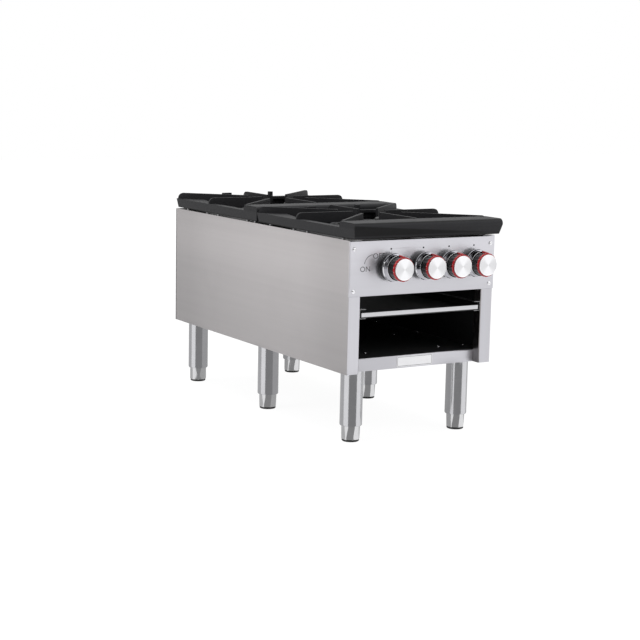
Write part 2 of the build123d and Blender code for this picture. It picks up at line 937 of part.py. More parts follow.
pilot_sites = [(pilot_x, centre + pilot_offset_y) for centre in burner_y]
bar_back = back_bar_setback + back_bar_width

with BuildPart() as pilot_burners:
    for (x, y), centre in zip(pilot_sites, burner_y):
        neck_top = pilot_top - pilot_head
        turn_upright(
            [
                (0, pilot_foot_z),
                (pilot_neck_r, pilot_foot_z),
                (pilot_neck_r, neck_top),
                (pilot_head_r, neck_top + pilot_flare),
            ]
            + dome(pilot_head_r, pilot_top - pilot_dome, pilot_dome)[::-1],
            x,
            y,
        )
        block(
            (x - pilot_neck_r, centre + bar_back, pilot_foot_z),
            (x + pilot_neck_r, y, pilot_foot_z + pilot_tab),
        )
save(pilot_burners, "pilot_burners")

with BuildPart() as pilot_tubes:
    for lane, (x, y) in zip(pilot_lane_x, pilot_sites):
        route = [
            (lane, pilot_valve_end_y, manifold_z),
            (lane, y, manifold_z),
            (x, y, manifold_z),
            (x, y, pilot_foot_z),
        ]
        pipe(route, pilot_tube_r, min(pilot_corner, abs(x - lane) / 2 - pilot_straight))
save(pilot_tubes, "pilot_tubes")

with BuildPart() as pilot_valves:
    sites = [(x, manifold_z) for x in pilot_lane_x]
    drill(sites, pilot_valve_r, manifold_y, pilot_valve_end_y, Mode.ADD)
    with BuildSketch(Plane.YZ.offset(manifold_left)) as pipe_shadow:
        with Locations((manifold_y, manifold_z)):
            Circle(pipe_r)
    extrude(pipe_shadow.sketch, amount=pipe_x - manifold_left, mode=Mode.SUBTRACT)
save(pilot_valves, "pilot_valves")


# ---------------------------------------------------------------- grates
def finger(centre_y, angle, tip, reach):
    """One upright blade, from its tip near the burner's middle out to its rounded shoulder."""
    direction = Plane((0, centre_y, 0), x_dir=Vector(1, 0, 0).rotate(Axis.Z, angle), z_dir=(0, 0, 1))
    side = Plane(direction.origin, x_dir=direction.x_dir, z_dir=-direction.y_dir)
    low = finger_top - finger_depth
    with BuildSketch(side) as blade:
        with BuildLine():
            Polyline(
                (reach - shoulder, finger_top),
                (tip, finger_top),
                (tip, low),
                (reach, low),
                (reach, finger_top - shoulder),
            )
            RadiusArc((reach - shoulder, finger_top), (reach, finger_top - shoulder), shoulder)
        make_face()
    extrude(blade.sketch, amount=finger_width / 2, both=True)


def grate(y0):
    """One cast grate whose front edge is at y0."""
    y1 = y0 + grate_length
    centre_y = y0 + burner_from_front
    nose_back = y0 + nose_depth
    front_wall = y0 + front_draft + skirt
    wall_inner = rim_half - side_draft - skirt
    low_flange = rim_top - flange_gauge
    # skirt and flange on three sides
    block((-rim_half, nose_back - flange_gauge, low_flange), (rim_half, y1, rim_top))
    block((-rim_half, front_wall, grate_bottom), (rim_half, y1, rim_top - flange_gauge))
    block(
        (-wall_inner, y0, grate_bottom),
        (wall_inner, y1 - rear_draft - skirt, low_flange),
        Mode.SUBTRACT,
    )
    # the opening, with its flat webs across the corners
    inner_x = rim_half - rim_width
    inner_y0, inner_y1 = nose_back, y1 - rim_width
    with BuildSketch(Plane.XY.offset(grate_bottom)) as opening:
        with BuildLine():
            Polyline(
                (0, inner_y1),
                *[(inner_x - across, inner_y1 - down) for across, down in rear_web],
                (inner_x, inner_y0 + front_web),
                (inner_x - front_web, inner_y0),
                (0, inner_y0),
                close=True,
            )
        make_face()
        mirror(about=Plane.YZ)
    extrude(opening.sketch, amount=rim_top - grate_bottom, mode=Mode.SUBTRACT)
    # the raised front rail with its rounded nose
    with BuildSketch(Plane.YZ.offset(-rim_half)) as nose:
        with BuildLine():
            outer = FilletPolyline(
                (nose_back, nose_top - flange_gauge),
                (nose_back, nose_top),
                (y0, nose_top),
                (y0, rim_top),
                (y0 + front_draft, grate_bottom),
                (front_wall, grate_bottom),
                radius=[nose_edge, nose_round, nose_belly_round, nose_foot_round],
            )
            Polyline(
                outer @ 1,
                (front_wall, nose_top - flange_gauge - nose_web),
                (front_wall + nose_web, nose_top - flange_gauge),
                outer @ 0,
            )
        make_face()
    extrude(nose.sketch, amount=2 * rim_half)
    for side in (-1, 1):
        ends = sorted((side * wall_inner, side * rim_half))
        block((ends[0], front_wall, low_flange), (ends[1], nose_back, nose_top - flange_gauge))
    block((-rim_half, nose_back - skirt, low_flange), (rim_half, nose_back, nose_top - nose_edge))
    # fingers
    for angle in (0, 180):
        finger(centre_y, angle, side_tip_r, rim_half - side_finger_inset)
    finger(centre_y, 90, side_tip_r, y1 - rear_finger_inset - centre_y)
    finger(centre_y, 270, side_tip_r, centre_y - nose_back + shoulder)
    corner_x = rim_half - corner_finger_inset
    corner_y = y1 - centre_y - corner_finger_inset
    corner_turn = degrees(atan2(corner_y, corner_x))
    for angle in (corner_turn, 180 - corner_turn):
        finger(centre_y, angle, corner_tip_r, hypot(corner_x, corner_y))
    # a front corner finger ends in the side rim or in the front rail, whichever it meets first
    corner_reach = min(rim_half - side_corner_inset, centre_y - nose_back + nose_corner_lap)
    for angle in (225, 315):
        finger(centre_y, angle, corner_tip_r, corner_reach / cos(pi / 4))
    # two small stops on the rear rim
    block(
        (lug_x - lug_width / 2, inner_y1 - lug_thickness / 2, lug_top - lug_depth),
        (lug_x + lug_width / 2, inner_y1 + lug_thickness / 2, lug_top),
    )
    block(
        (stop_x - stop_width / 2, y1 - rim_width / 2 - stop_thickness / 2, rim_top - stop_lap),
        (stop_x + stop_width / 2, y1 - rim_width / 2 + stop_thickness / 2, stop_top),
    )
    # the drafts of the casting, widest at the level of the rim
    with BuildSketch(Plane.XZ.offset(-y1)) as side_drafts:
        Polygon((rim_half, rim_top), (rim_half, grate_bottom), (rim_half - side_draft, grate_bottom), align=None)
        Polygon((rim_half, rim_top), (rim_half, nose_top), (rim_half - nose_draft, nose_top), align=None)
        mirror(about=Plane.YZ)
    extrude(side_drafts.sketch, amount=grate_length, mode=Mode.SUBTRACT)
    with BuildSketch(Plane.YZ.offset(-rim_half)) as rear_slope:
        Polygon((y1, rim_top), (y1, grate_bottom), (y1 - rear_draft, grate_bottom), align=None)
    extrude(rear_slope.sketch, amount=2 * rim_half, mode=Mode.SUBTRACT)


for y0, name in zip(grate_front_y, ("front_grate", "rear_grate")):
    with BuildPart() as cast_grate:
        grate(y0)
    save(cast_grate, name)

with BuildPart() as grate_rests:
    # the grate overhangs the panel in front, so a rest that would miss the cabinet is left out
    rest_sites = [
        (side * rest_x, y0 + step)
        for side in (-1, 1)
        for y0 in grate_front_y
        for step in rest_from_front
        if y0 + step > front_y + rest_r
    ]
    stand(rest_sites, rest_r, body_top, grate_bottom)
save(grate_rests, "grate_rests")
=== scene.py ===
"""Finishes a two-burner stock pot range: sheet metal, castings, knobs, legs and the studio."""

import math

import bmesh
import bpy
from bpy.props import FloatProperty, FloatVectorProperty, IntProperty, PointerProperty
from mathutils import Matrix, Vector


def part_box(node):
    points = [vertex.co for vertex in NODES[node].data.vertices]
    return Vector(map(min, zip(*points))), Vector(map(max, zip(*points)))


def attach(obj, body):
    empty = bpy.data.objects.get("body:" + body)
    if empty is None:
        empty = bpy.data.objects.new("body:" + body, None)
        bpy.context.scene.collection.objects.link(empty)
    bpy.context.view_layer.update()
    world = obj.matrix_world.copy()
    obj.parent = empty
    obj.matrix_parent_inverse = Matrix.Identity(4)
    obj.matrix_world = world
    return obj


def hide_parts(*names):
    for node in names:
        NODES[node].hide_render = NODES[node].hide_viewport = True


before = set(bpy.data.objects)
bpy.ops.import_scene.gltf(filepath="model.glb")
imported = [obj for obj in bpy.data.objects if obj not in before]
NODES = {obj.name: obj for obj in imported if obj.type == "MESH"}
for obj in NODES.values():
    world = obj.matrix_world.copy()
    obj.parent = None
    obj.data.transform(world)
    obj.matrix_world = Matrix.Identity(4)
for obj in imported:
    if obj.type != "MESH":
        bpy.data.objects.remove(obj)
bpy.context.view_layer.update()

bl_info = {
    "name": "Stock Pot Range",
    "version": (1, 0, 0),
    "blender": (4, 5, 0),
    "location": "View3D > Sidebar > Range",
    "description": "Dresses a two-burner stock pot range around its fixed frame",
    "category": "Object",
}

# ---- places read from the frame
PANEL_LOW, PANEL_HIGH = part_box("control_panel")
FRONT_Y = PANEL_LOW.y
BACK_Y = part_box("back_panel")[1].y
HALF_WIDTH = PANEL_HIGH.x
KNOBS = (1, 2, 3, 4)
INNER_SHEETS = ("top_cross_member", "cabinet_floor", "base_rails", "leg_plates", "burner_bars")
FEET = [name[len("foot_pad_"):] for name in sorted(NODES) if name.startswith("foot_pad_")]


def middle(node):
    """The centre of a node's box."""
    low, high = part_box(node)
    return (low + high) / 2


KNOB_Z = middle("knob_cap_1").z

# ---- how meshes are cleaned: joined points, flat angle in degrees, width of a broad face
WELD = 0.00001
FLAT_ANGLE = 0.4
BROAD = 0.006

# ---- where the finishes and the painted light and shade change, in metres from the front, a knob's axis or a grate's low corner
HALF_SHEET = 0.0008
POST_DEPTH = 0.033
POST_FACE = 0.002
PANEL_BEND = 0.0032
RAIL_BEND = 0.0045
# The bezels' foot behind this depth is painted near black as shade in the gap behind the chrome
# band.
GAP_SHADE_DEPTH = 0.0162
TRAY_LIP = 0.012
# The tray's lowest strip gets a painted shadow line.
TRAY_SEAM = 0.0032
RUNNER_SHOWN = 0.01
# A painted shade ring round each sight hole.
SIGHT_HOLE_Z = 0.511
SIGHT_HOLE_RIM = 0.0024
DISC_RIM = 0.0262
NOTCH_RIM = 0.0311
RING_BACK = 0.06
BLADE_END = 0.0415
# Bands of painted light and shade on the grates' fronts, and a painted shadow along their foot.
NOSE_DEPTH = 0.006
NOSE_SLOPE = 0.066
NOSE_BELLY = (0.0177, 0.0217)
NOSE_LEDGE = (0.0365, 0.039)
NOSE_FOOT = (0.001, 0.004)
# Painted shade on the steel sheets, as rows of (axis, from, to, amount).
SIDE_PAINTED_SHADE = (
    ("Y", -0.15, 0.6, 0.18),
    ("Y", 0.28, 0.45, 0.07),
    ("Y", -0.22, -0.42, 0.11),
    ("Z", 0.49, 0.36, 0.19),
    ("Z", 0.42, 0.2, 0.2),
)
POST_PAINTED_SHADE = (("X", 0.0, 0.2, 0.09),)
PANEL_PAINTED_SHADE = (("Z", 0.52, 0.4, 0.1),)
RAIL_PAINTED_SHADE = (("X", 0.05, -0.1, 0.15),)


# ---- shader maths
def summed(operation, swapped=False):
    """An operator of Signal; swapped puts the other value first."""
    if swapped:
        return lambda self, other: self.math(operation, other, self)
    return lambda self, other: self.math(operation, self, other)


class Signal:
    """A socket that can be used in sums; each sum adds a Math node."""

    def __init__(self, finish, socket):
        self.finish = finish
        self.socket = socket

    def math(self, operation, *values):
        return self.finish.node("Math", values, operation=operation)

    __add__ = __radd__ = summed("ADD")
    __sub__ = summed("SUBTRACT")
    __rsub__ = summed("SUBTRACT", True)
    __mul__ = __rmul__ = summed("MULTIPLY")
    __truediv__ = summed("DIVIDE")
    __gt__ = summed("GREATER_THAN")
    __lt__ = summed("LESS_THAN")
    least = summed("MINIMUM")
    most = summed("MAXIMUM")

    def absolute(self):
        return self.math("ABSOLUTE", self)

    def eased(self, low, high):
        """0 below low, 1 above high, and a smooth step between them."""
        span = (self, low, high, 0.0, 1.0)
        return self.finish.node("MapRange", span, interpolation_type="SMOOTHSTEP")


class Finish:
    """One material, or the world, built node by node."""

    def __init__(self, name=None, world=None):
        self.owner = world or bpy.data.materials.new(name)
        self.owner.use_nodes = True
        self.tree = self.owner.node_tree
        self.tree.nodes.clear()

    def node(self, kind, values=(), output=0, **settings):
        """Add a node, set it up, fill its sockets, and return one of its outputs."""
        node = self.tree.nodes.new(f"ShaderNode{kind}")
        for key, value in settings.items():
            setattr(node, key, value)
        pairs = values.items() if isinstance(values, dict) else enumerate(values)
        for key, value in pairs:
            if isinstance(value, Signal):
                self.tree.links.new(value.socket, node.inputs[key])
            else:
                node.inputs[key].default_value = value
        return Signal(self, node.outputs[output])

    def place(self):
        """The point on the object, in metres, in the frame's own axes."""
        return self.node("TexCoord", output="Object")

    def axis(self, name):
        return self.node("SeparateXYZ", (self.place(),), name)

    def stretched(self, stretch, centre=(0.0, 0.0, 0.0)):
        """The place with each axis scaled, so that a pattern runs along the short ones."""
        moved = self.node("VectorMath", (self.place(), centre), operation="SUBTRACT")
        return self.node("VectorMath", (moved, stretch), operation="MULTIPLY")

    def reach(self, centre):
        """The distance from an axis that runs along Y through a centre."""
        spot = self.stretched((1.0, 0.0, 1.0), centre)
        return self.node("VectorMath", (spot,), "Value", operation="LENGTH")

    def clouds(self, scale, detail=2.0, roughness=0.5, stretch=(1.0, 1.0, 1.0)):
        """Soft noise between 0 and 1 whose grain is about 1 / scale metres."""
        values = {"Vector": self.stretched(stretch), "Scale": scale, "Detail": detail}
        return self.node("TexNoise", {**values, "Roughness": roughness})

    def blend(self, first, second, factor):
        """Mix two colours."""
        first = first if isinstance(first, Signal) else (*first, 1.0)
        second = second if isinstance(second, Signal) else (*second, 1.0)
        return self.node("Mix", {0: factor, 6: first, 7: second}, 2, data_type="RGBA")

    def tones(self, colour, dark, pale, factor):
        """A colour that runs between a darker and a paler shade of itself."""
        return self.blend(shade(colour, dark), shade(colour, pale), factor)

    def bump(self, height, distance, strength):
        values = {"Height": height, "Distance": distance, "Strength": strength}
        return self.node("Bump", values)

    def surface(self, colour, roughness, metallic=0.0, normal=None, specular=0.5):
        """End the material in one Principled shader."""
        values = {"Base Color": colour, "Roughness": roughness, "Metallic": metallic}
        values["Specular IOR Level"] = specular
        if normal:
            values["Normal"] = normal
        return self.end("BsdfPrincipled", values)

    def end(self, *shader):
        """Add the last shader, join it to the output, and return the material."""
        kind = "World" if isinstance(self.owner, bpy.types.World) else "Material"
        shader = self.node(*shader)
        end = self.tree.nodes.new(f"ShaderNodeOutput{kind}")
        self.tree.links.new(shader.socket, end.inputs["Surface"])
        return self.owner


def lengthwise(along, fine, coarse):
    """A stretch that makes a pattern fine across an axis and coarse along it."""
    return [coarse if axis == along else fine for axis in "xyz"]


def shade(colour, factor):
    """A colour made lighter or darker."""
    return tuple(channel * factor for channel in colour)


# ---- finishes
def brushed(name, colour, along, roughness, dark_inside=None, depth=0.00003, painted_shade=()):
    """Satin stainless: fine hairlines along one axis, soft handling marks, a few scuffs.

    Each row of painted_shade is (axis, from, to, amount): painted shade darkens the sheet along the
    axis, from nothing at from to that amount at to.
    """
    finish = Finish(name)
    hairs = finish.clouds(1.0, 2.0, 0.6, lengthwise(along, 2400.0, 9.0))
    bands = finish.clouds(1.0, 3.0, 0.55, lengthwise(along, 70.0, 0.8))
    smudges = finish.clouds(7.0, 3.0, 0.6)
    tone = finish.tones(colour, 0.93, 1.06, bands)
    tone = finish.blend(tone, shade(colour, 0.95), (hairs - 0.5).absolute() * 0.7)
    for axis, start, end, amount in painted_shade:
        painted_dark = finish.axis(axis).eased(min(start, end), max(start, end)) * amount
        if end < start:
            painted_dark = amount - painted_dark
        tone = finish.blend(tone, (0.0, 0.0, 0.0), painted_dark)
    rough = roughness + (bands - 0.5) * 0.06 + (hairs - 0.5) * 0.06
    rough = rough + smudges.eased(0.5, 0.75) * 0.05
    metallic = 1.0
    # Inner faces are painted near black as shade, mottled, dull and not metallic.
    if dark_inside:
        inside = dark_inside(finish)
        shade_mottle = finish.clouds(35.0, 4.0, 0.6)
        black = finish.blend((0.006, 0.006, 0.007), (0.016, 0.016, 0.017), shade_mottle)
        tone = finish.blend(tone, black, inside)
        rough = rough + inside * 0.25
        metallic = 1.0 - inside
    return finish.surface(tone, rough, metallic, finish.bump(hairs, depth, 0.5))


def behind(depth):
    """A mask that is 1 behind a plane across the range, where faces are painted near black as
    shade.
    """
    return lambda finish: finish.axis("Y") > depth


def inside_of_sides(finish):
    """Painted shade: 1 on the inner faces of the side panels, behind the posts' returns."""
    inner = finish.axis("X").absolute() < HALF_WIDTH - HALF_SHEET
    return inner * (finish.axis("Y") > FRONT_Y + POST_DEPTH)


# Painted shade: 1 on the back panel's inner face.
def inside_of_back(finish):
    return finish.axis("Y") < BACK_Y - HALF_SHEET


def inside_of_panel(finish):
    """Painted shade: 1 behind the control panel, and a painted shade ring round the rims of its
    sight holes.
    """
    inside = finish.axis("Y") > FRONT_Y + PANEL_BEND
    for number in KNOBS:
        centre = (middle(f"knob_cap_{number}").x, 0.0, SIGHT_HOLE_Z)
        inside = inside.most(finish.reach(centre) < SIGHT_HOLE_RIM)
    return inside


def inside_of_tray(finish):
    """Painted shade: 1 behind the tray's lip, and a painted shadow line in the seam under its
    front.
    """
    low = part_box("drip_tray")[0]
    return (finish.axis("Y") > low.y + TRAY_LIP).most(finish.axis("Z") < low.z + TRAY_SEAM)


def coated(name, colour):
    """Dull black enamel on the inner sheet metal, with dust and scratches through to grey."""
    finish = Finish(name)
    dust = finish.clouds(28.0, 5.0, 0.65)
    scratch = finish.clouds(1.0, 2.0, 0.5, (900.0, 14.0, 900.0)).eased(0.7, 0.78)
    tone = finish.tones(colour, 0.7, 1.5, dust)
    tone = finish.blend(tone, shade(colour, 5.0), scratch * 0.3)
    normal = finish.bump(finish.clouds(900.0), 0.00006, 0.4)
    return finish.surface(tone, 0.5 + dust * 0.25, 0.0, normal)


def cast(name, colour, nose=None):
    """Matt cast iron: sand grain, shallow pits, and a dusty bloom where it is handled.

    nose is the low corner of a grate's box: its front gets a painted light band between painted
    shade at its top and under its belly, and the grate's lowest strip a painted shadow.
    """
    finish = Finish(name)
    grain = finish.clouds(620.0, 4.0, 0.65)
    pits = finish.clouds(170.0, 3.0, 0.6)
    bloom = finish.clouds(22.0, 4.0, 0.6)
    tone = finish.tones(colour, 0.72, 1.45, bloom)
    tone = finish.blend(tone, shade(colour, 1.9), grain.eased(0.55, 0.8) * 0.35)
    if nose:
        height = finish.axis("Z") - nose.z
        front = finish.axis("Y") < nose.y + NOSE_DEPTH
        belly = 1.0 - (height + finish.axis("X") * NOSE_SLOPE).eased(*NOSE_BELLY)
        ledge = height.eased(*NOSE_LEDGE)
        tone = finish.blend(tone, shade(colour, 1.55), front * (1.0 - belly) * (1.0 - ledge) * 0.8)
        tone = finish.blend(tone, shade(colour, 0.2), front * belly * 0.85)
        tone = finish.blend(tone, shade(colour, 0.1), front * ledge * 0.8)
        # A painted shadow along the grate's lowest strip.
        tone = finish.blend(tone, shade(colour, 0.1), 1.0 - height.eased(*NOSE_FOOT))
    rough = 0.5 + bloom * 0.16 + (grain - 0.5) * 0.15
    normal = finish.bump(grain * 0.6 + pits * 1.2, 0.0004, 0.5)
    return finish.surface(tone, rough, 0.0, normal, 0.2)


def polished(name, colour, roughness, along=None, black=None, depth=0.00002):
    """Chrome or a polished tube, with faint smudges and a trace of the polishing wheel."""
    finish = Finish(name)
    smudges = finish.clouds(45.0, 4.0, 0.6)
    wheel = finish.clouds(1.0, 2.0, 0.5, lengthwise(along, 1800.0, 12.0))
    tone = finish.tones(colour, 0.92, 1.05, smudges)
    rough = roughness + smudges.eased(0.45, 0.8) * 0.06 + (wheel - 0.5) * 0.06
    metallic = 1.0
    # black masks faces painted near black and dull; on the bezels, painted shade behind the chrome
    # band.
    if black:
        dull = black(finish)
        tone = finish.blend(tone, (0.008, 0.008, 0.009), dull)
        rough = rough + dull * 0.3
        metallic = 1.0 - dull
    return finish.surface(tone, rough, metallic, finish.bump(wheel, depth, 0.4))


def moulded(name, colour, roughness, grain=0.00004):
    """Moulded plastic or rubber, with a fine skin and light scuffs."""
    finish = Finish(name)
    skin = finish.clouds(1500.0)
    scuffs = finish.clouds(60.0, 4.0, 0.7)
    tone = finish.tones(colour, 0.85, 1.25, scuffs)
    rough = roughness + scuffs.eased(0.5, 0.8) * 0.12
    return finish.surface(tone, rough, 0.0, finish.bump(skin, grain, 0.5))


def spun(name, colour, roughness, centre):
    """Spun aluminium: rings turned about a knob's axis, with a painted reflection that darkens the
    face towards its left and right.
    """
    finish = Finish(name)
    radius = finish.reach(centre)
    wave = radius.math("SINE", radius * 9000.0)
    ring = finish.node("CombineXYZ", (radius * 5200.0, 0.0, 0.0))
    uneven = finish.node("TexNoise", {"Vector": ring, "Scale": 1.0, "Detail": 3.0})
    tone = finish.tones(colour, 0.97, 1.05, uneven)
    # Painted reflection: the face darkens away from its upright middle line.
    across = (finish.axis("X") - centre.x).absolute() / radius
    tone = finish.blend(tone, shade(colour, 0.8), across.eased(0.35, 1.0) * (radius < DISC_RIM))
    rough = roughness + (uneven - 0.5) * 0.1
    return finish.surface(tone, rough, 1.0, finish.bump(wave * 0.5 + uneven, 0.00004, 0.6))


def pointer(name, colour, centre):
    """Glossy red, with a painted highlight where the rim is notched, and dark at the blade's back
    end.
    """
    finish = Finish(name)
    radius = finish.reach(centre)
    depth = FRONT_Y - finish.axis("Y")
    scuffs = finish.clouds(60.0, 4.0, 0.7)
    tone = finish.tones(colour, 0.85, 1.2, scuffs)
    # Painted highlight on the notched rim.
    tone = finish.blend(tone, (0.72, 0.36, 0.34), (radius < NOTCH_RIM) * (depth < RING_BACK) * 0.8)
    tone = finish.blend(tone, shade(colour, 0.12), depth < BLADE_END)
    return finish.surface(tone, 0.16 + scuffs * 0.08, 0.0)


def machined(name, colour, roughness):
    """Brass and plated fittings, dulled by handling."""
    finish = Finish(name)
    tarnish = finish.clouds(80.0, 5.0, 0.65)
    turning = finish.clouds(1.0, 2.0, 0.5, (260.0, 3000.0, 260.0))
    tone = finish.tones(colour, 0.7, 1.12, tarnish)
    rough = roughness + tarnish * 0.18
    return finish.surface(tone, rough, 1.0, finish.bump(turning, 0.00004, 0.5))


def printed(name, colour):
    """Screen-printed ink, slightly uneven."""
    finish = Finish(name)
    wear = finish.clouds(260.0, 4.0, 0.6)
    tone = finish.tones(colour, 0.8, 1.25, wear)
    return finish.surface(tone, 0.45 + wear * 0.2, 0.0)


# ---- meshes
def meshed(shape, name):
    """The mesh of a closed shape, with its faces turned outward."""
    bmesh.ops.recalc_face_normals(shape, faces=shape.faces)
    return kept(shape, name)


def kept(shape, name):
    """Write a shape into a new mesh and free it."""
    mesh = bpy.data.meshes.new(name)
    shape.to_mesh(mesh)
    shape.free()
    return mesh


def dress(node, finish):
    """Give a node that keeps its own mesh its finish."""
    slots = NODES[node].data.materials
    slots.clear()
    slots.append(finish)


def placed(name, data):
    """A new object of the scene, at the origin."""
    piece = bpy.data.objects.new(name, data)
    bpy.context.scene.collection.objects.link(piece)
    return piece


def link(name, mesh, finish):
    """A new object at the origin, with one material."""
    mesh.materials.clear()
    mesh.materials.append(finish)
    return placed(name, mesh)


def seat(piece, body, slot, *nodes):
    """Tie a finished piece to its body and hide the nodes it stands for; slot is not used."""
    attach(piece, body)
    if nodes:
        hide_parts(*nodes)
    return piece


def evaluated(piece):
    """A new mesh of a piece as its modifiers leave it."""
    depsgraph = bpy.context.evaluated_depsgraph_get()
    return bpy.data.meshes.new_from_object(piece.evaluated_get(depsgraph))


def baked(piece):
    """Apply every modifier of a piece by making its evaluated mesh its own."""
    mesh = evaluated(piece)
    piece.modifiers.clear()
    piece.data = mesh
    return piece


def welded(node):
    """A node's mesh with its doubled points joined, as a shape to work on."""
    shape = bmesh.new()
    shape.from_mesh(NODES[node].data)
    bmesh.ops.remove_doubles(shape, verts=shape.verts, dist=WELD)
    return shape


def softened(node, name, finish, width, steps=2, angle=30.0):
    """A welded copy of a node's mesh with its sharp edges rounded."""
    shape = welded(node)
    flat = math.radians(FLAT_ANGLE)
    parts = {"verts": shape.verts, "edges": shape.edges, "delimit": {"NORMAL"}}
    bmesh.ops.dissolve_limit(shape, angle_limit=flat, **parts)
    for face in shape.faces:
        face.smooth = True
    piece = link(name, kept(shape, name), finish)
    bevel = piece.modifiers.new("Rounded edges", "BEVEL")
    bevel.width = width
    bevel.segments = steps
    bevel.limit_method = "ANGLE"
    bevel.angle_limit = math.radians(angle)
    bevel.harden_normals = True
    flat_faces(baked(piece).data)
    return piece


def clad(node, name, finish, edge, body, slot, *rounding):
    """Replace a node by its own mesh with softened edges."""
    return seat(softened(node, name, finish, edge, *rounding), body, slot, node)


def flat_faces(mesh):
    """Shade the broad flat faces from their own normals, so that holes leave no streaks."""
    normals = [corner.vector.copy() for corner in mesh.corner_normals]
    for face in mesh.polygons:
        points = [mesh.vertices[index].co for index in face.vertices]
        girth = sum((here - there).length for here, there in zip(points, points[1:] + points[:1]))
        if 2 * face.area / girth > BROAD:
            for corner in face.loop_indices:
                normals[corner] = face.normal.copy()
    mesh.normals_split_custom_set(normals)


def corners(points, steps=6):
    """Turn (x, y) and (x, y, round) points into an outline with its corners rounded."""
    outline = []
    for index, point in enumerate(points):
        here = Vector(point[:2])
        if len(point) < 3 or index in (0, len(points) - 1):
            outline.append(here)
            continue
        before = (Vector(points[index - 1][:2]) - here).normalized()
        after = (Vector(points[index + 1][:2]) - here).normalized()
        half = before.angle(after) / 2
        reach = point[2] / math.tan(half)
        centre = here + (before + after).normalized() * point[2] / math.sin(half)
        first = here + before * reach - centre
        last = here + after * reach - centre
        sweep = first.angle_signed(last)
        for step in range(steps + 1):
            turn = -sweep * step / steps
            outline.append(centre + Matrix.Rotation(turn, 2) @ first)
    return outline


def turned(outline, segments=96, form=None, inner=0.0):
    """Revolve an outline of (radius, height) about Z; form may shape it beyond the inner radius."""
    shape = bmesh.new()
    rows = []
    for radius, height in outline:
        if radius < 1e-6:
            rows.append([shape.verts.new((0.0, 0.0, height))])
            continue
        row = []
        for index in range(segments):
            angle = 2 * math.pi * index / segments
            reach, level = radius, height
            if form and radius >= inner:
                reach, level = form(radius, height, angle)
            row.append(shape.verts.new((reach * math.cos(angle), reach * math.sin(angle), level)))
        rows.append(row)
    pairs = list(zip(rows, rows[1:]))
    if len(rows[0]) > 1 and len(rows[-1]) > 1:
        pairs.append((rows[-1], rows[0]))
    for low, high in pairs:
        for index in range(segments):
            after = (index + 1) % segments
            ring = [low[index % len(low)], low[after % len(low)]]
            ring += [high[after % len(high)], high[index % len(high)]]
            unique = list(dict.fromkeys(ring))
            if len(unique) > 2:
                shape.faces.new(unique)
    return meshed(shape, "turned")


def lofted(rows, name):
    """A closed shape skinned over rows of points, with flat ends."""
    shape = bmesh.new()
    rings = [[shape.verts.new(point) for point in row] for row in rows]
    shape.faces.new(rings[0][::-1])
    shape.faces.new(rings[-1])
    for low, high in zip(rings, rings[1:]):
        for index in range(len(low)):
            after = (index + 1) % len(low)
            shape.faces.new((low[index], low[after], high[after], high[index]))
    return meshed(shape, name)


def extruded(outline, low, high):
    """A prism from an (x, y) outline between two heights."""
    return lofted([[(x, y, height) for x, y in outline] for height in (low, high)], "extruded")


def merged(name, finish, *meshes):
    """One object made of several meshes."""
    shape = bmesh.new()
    for mesh in meshes:
        shape.from_mesh(mesh)
    return link(name, smooth(kept(shape, name)), finish)


def moved(mesh, matrix):
    """Move a mesh in place."""
    mesh.transform(matrix)
    return mesh


def islands(node):
    """The (lowest, highest) corners of each separate solid of a node."""
    shape = welded(node)
    boxes = []
    left = set(shape.verts)
    while left:
        group = [left.pop()]
        for vert in group:
            for edge in vert.link_edges:
                other = edge.other_vert(vert)
                if other in left:
                    left.discard(other)
                    group.append(other)
        rows = list(zip(*(vert.co for vert in group)))
        boxes.append((Vector([min(row) for row in rows]), Vector([max(row) for row in rows])))
    shape.free()
    return sorted(boxes, key=lambda box: tuple(round(value, 4) for value in box[0]))


def centres(node, axis, value):
    """The middle of each separate solid of a node, with one axis set to a value."""
    places = [(low + high) / 2 for low, high in islands(node)]
    for place in places:
        setattr(place, axis, value)
    return places


def smooth(mesh, angle=35.0):
    """Smooth shading with edges sharper than the angle kept crisp."""
    mesh.shade_smooth()
    mesh.set_sharp_from_angle(angle=math.radians(angle))
    return mesh


def facing_front(site):
    """Turn a shape made about Z to point out of the front panel at a place."""
    return Matrix.Translation(site) @ Matrix.Rotation(math.radians(90.0), 4, "X")


# ---- repeats
def set_out_tree():
    """Geometry nodes that stand one piece on every point, each turned by chance about an axis."""
    tree = bpy.data.node_groups.new("Set out", "GeometryNodeTree")
    tree.is_modifier = True
    sockets = {
        "Sites": "Geometry", "Piece": "Object", "Axis": "Vector", "Chance turn": "Float",
        "Seed": "Int", "Finish": "Material",
    }
    for name, kind in sockets.items():
        tree.interface.new_socket(name, in_out="INPUT", socket_type=f"NodeSocket{kind}")
    tree.interface.new_socket("Pieces", in_out="OUTPUT", socket_type="NodeSocketGeometry")

    def add(kind, *feeds, **settings):
        """Add a node, set it up, feed its inputs, and return its outputs."""
        node = tree.nodes.new(kind)
        for key, value in settings.items():
            setattr(node, key, value)
        for key, source in feeds:
            tree.links.new(source, node.inputs[key])
        return node.outputs

    given = add("NodeGroupInput")
    piece = add("GeometryNodeObjectInfo", ("Object", given["Piece"]))
    chance = add("FunctionNodeRandomValue", (3, given["Chance turn"]), ("Seed", given["Seed"]))
    scaled = (0, given["Axis"]), ("Scale", chance[1])
    angles = add("ShaderNodeVectorMath", *scaled, operation="SCALE")
    stood = ("Points", given["Sites"]), ("Instance", piece["Geometry"]), ("Rotation", angles[0])
    stand = add("GeometryNodeInstanceOnPoints", *stood)
    real = add("GeometryNodeRealizeInstances", (0, stand[0]))
    paint = add("GeometryNodeSetMaterial", ("Geometry", real[0]), ("Material", given["Finish"]))
    add("NodeGroupOutput", (0, paint[0]))
    return tree


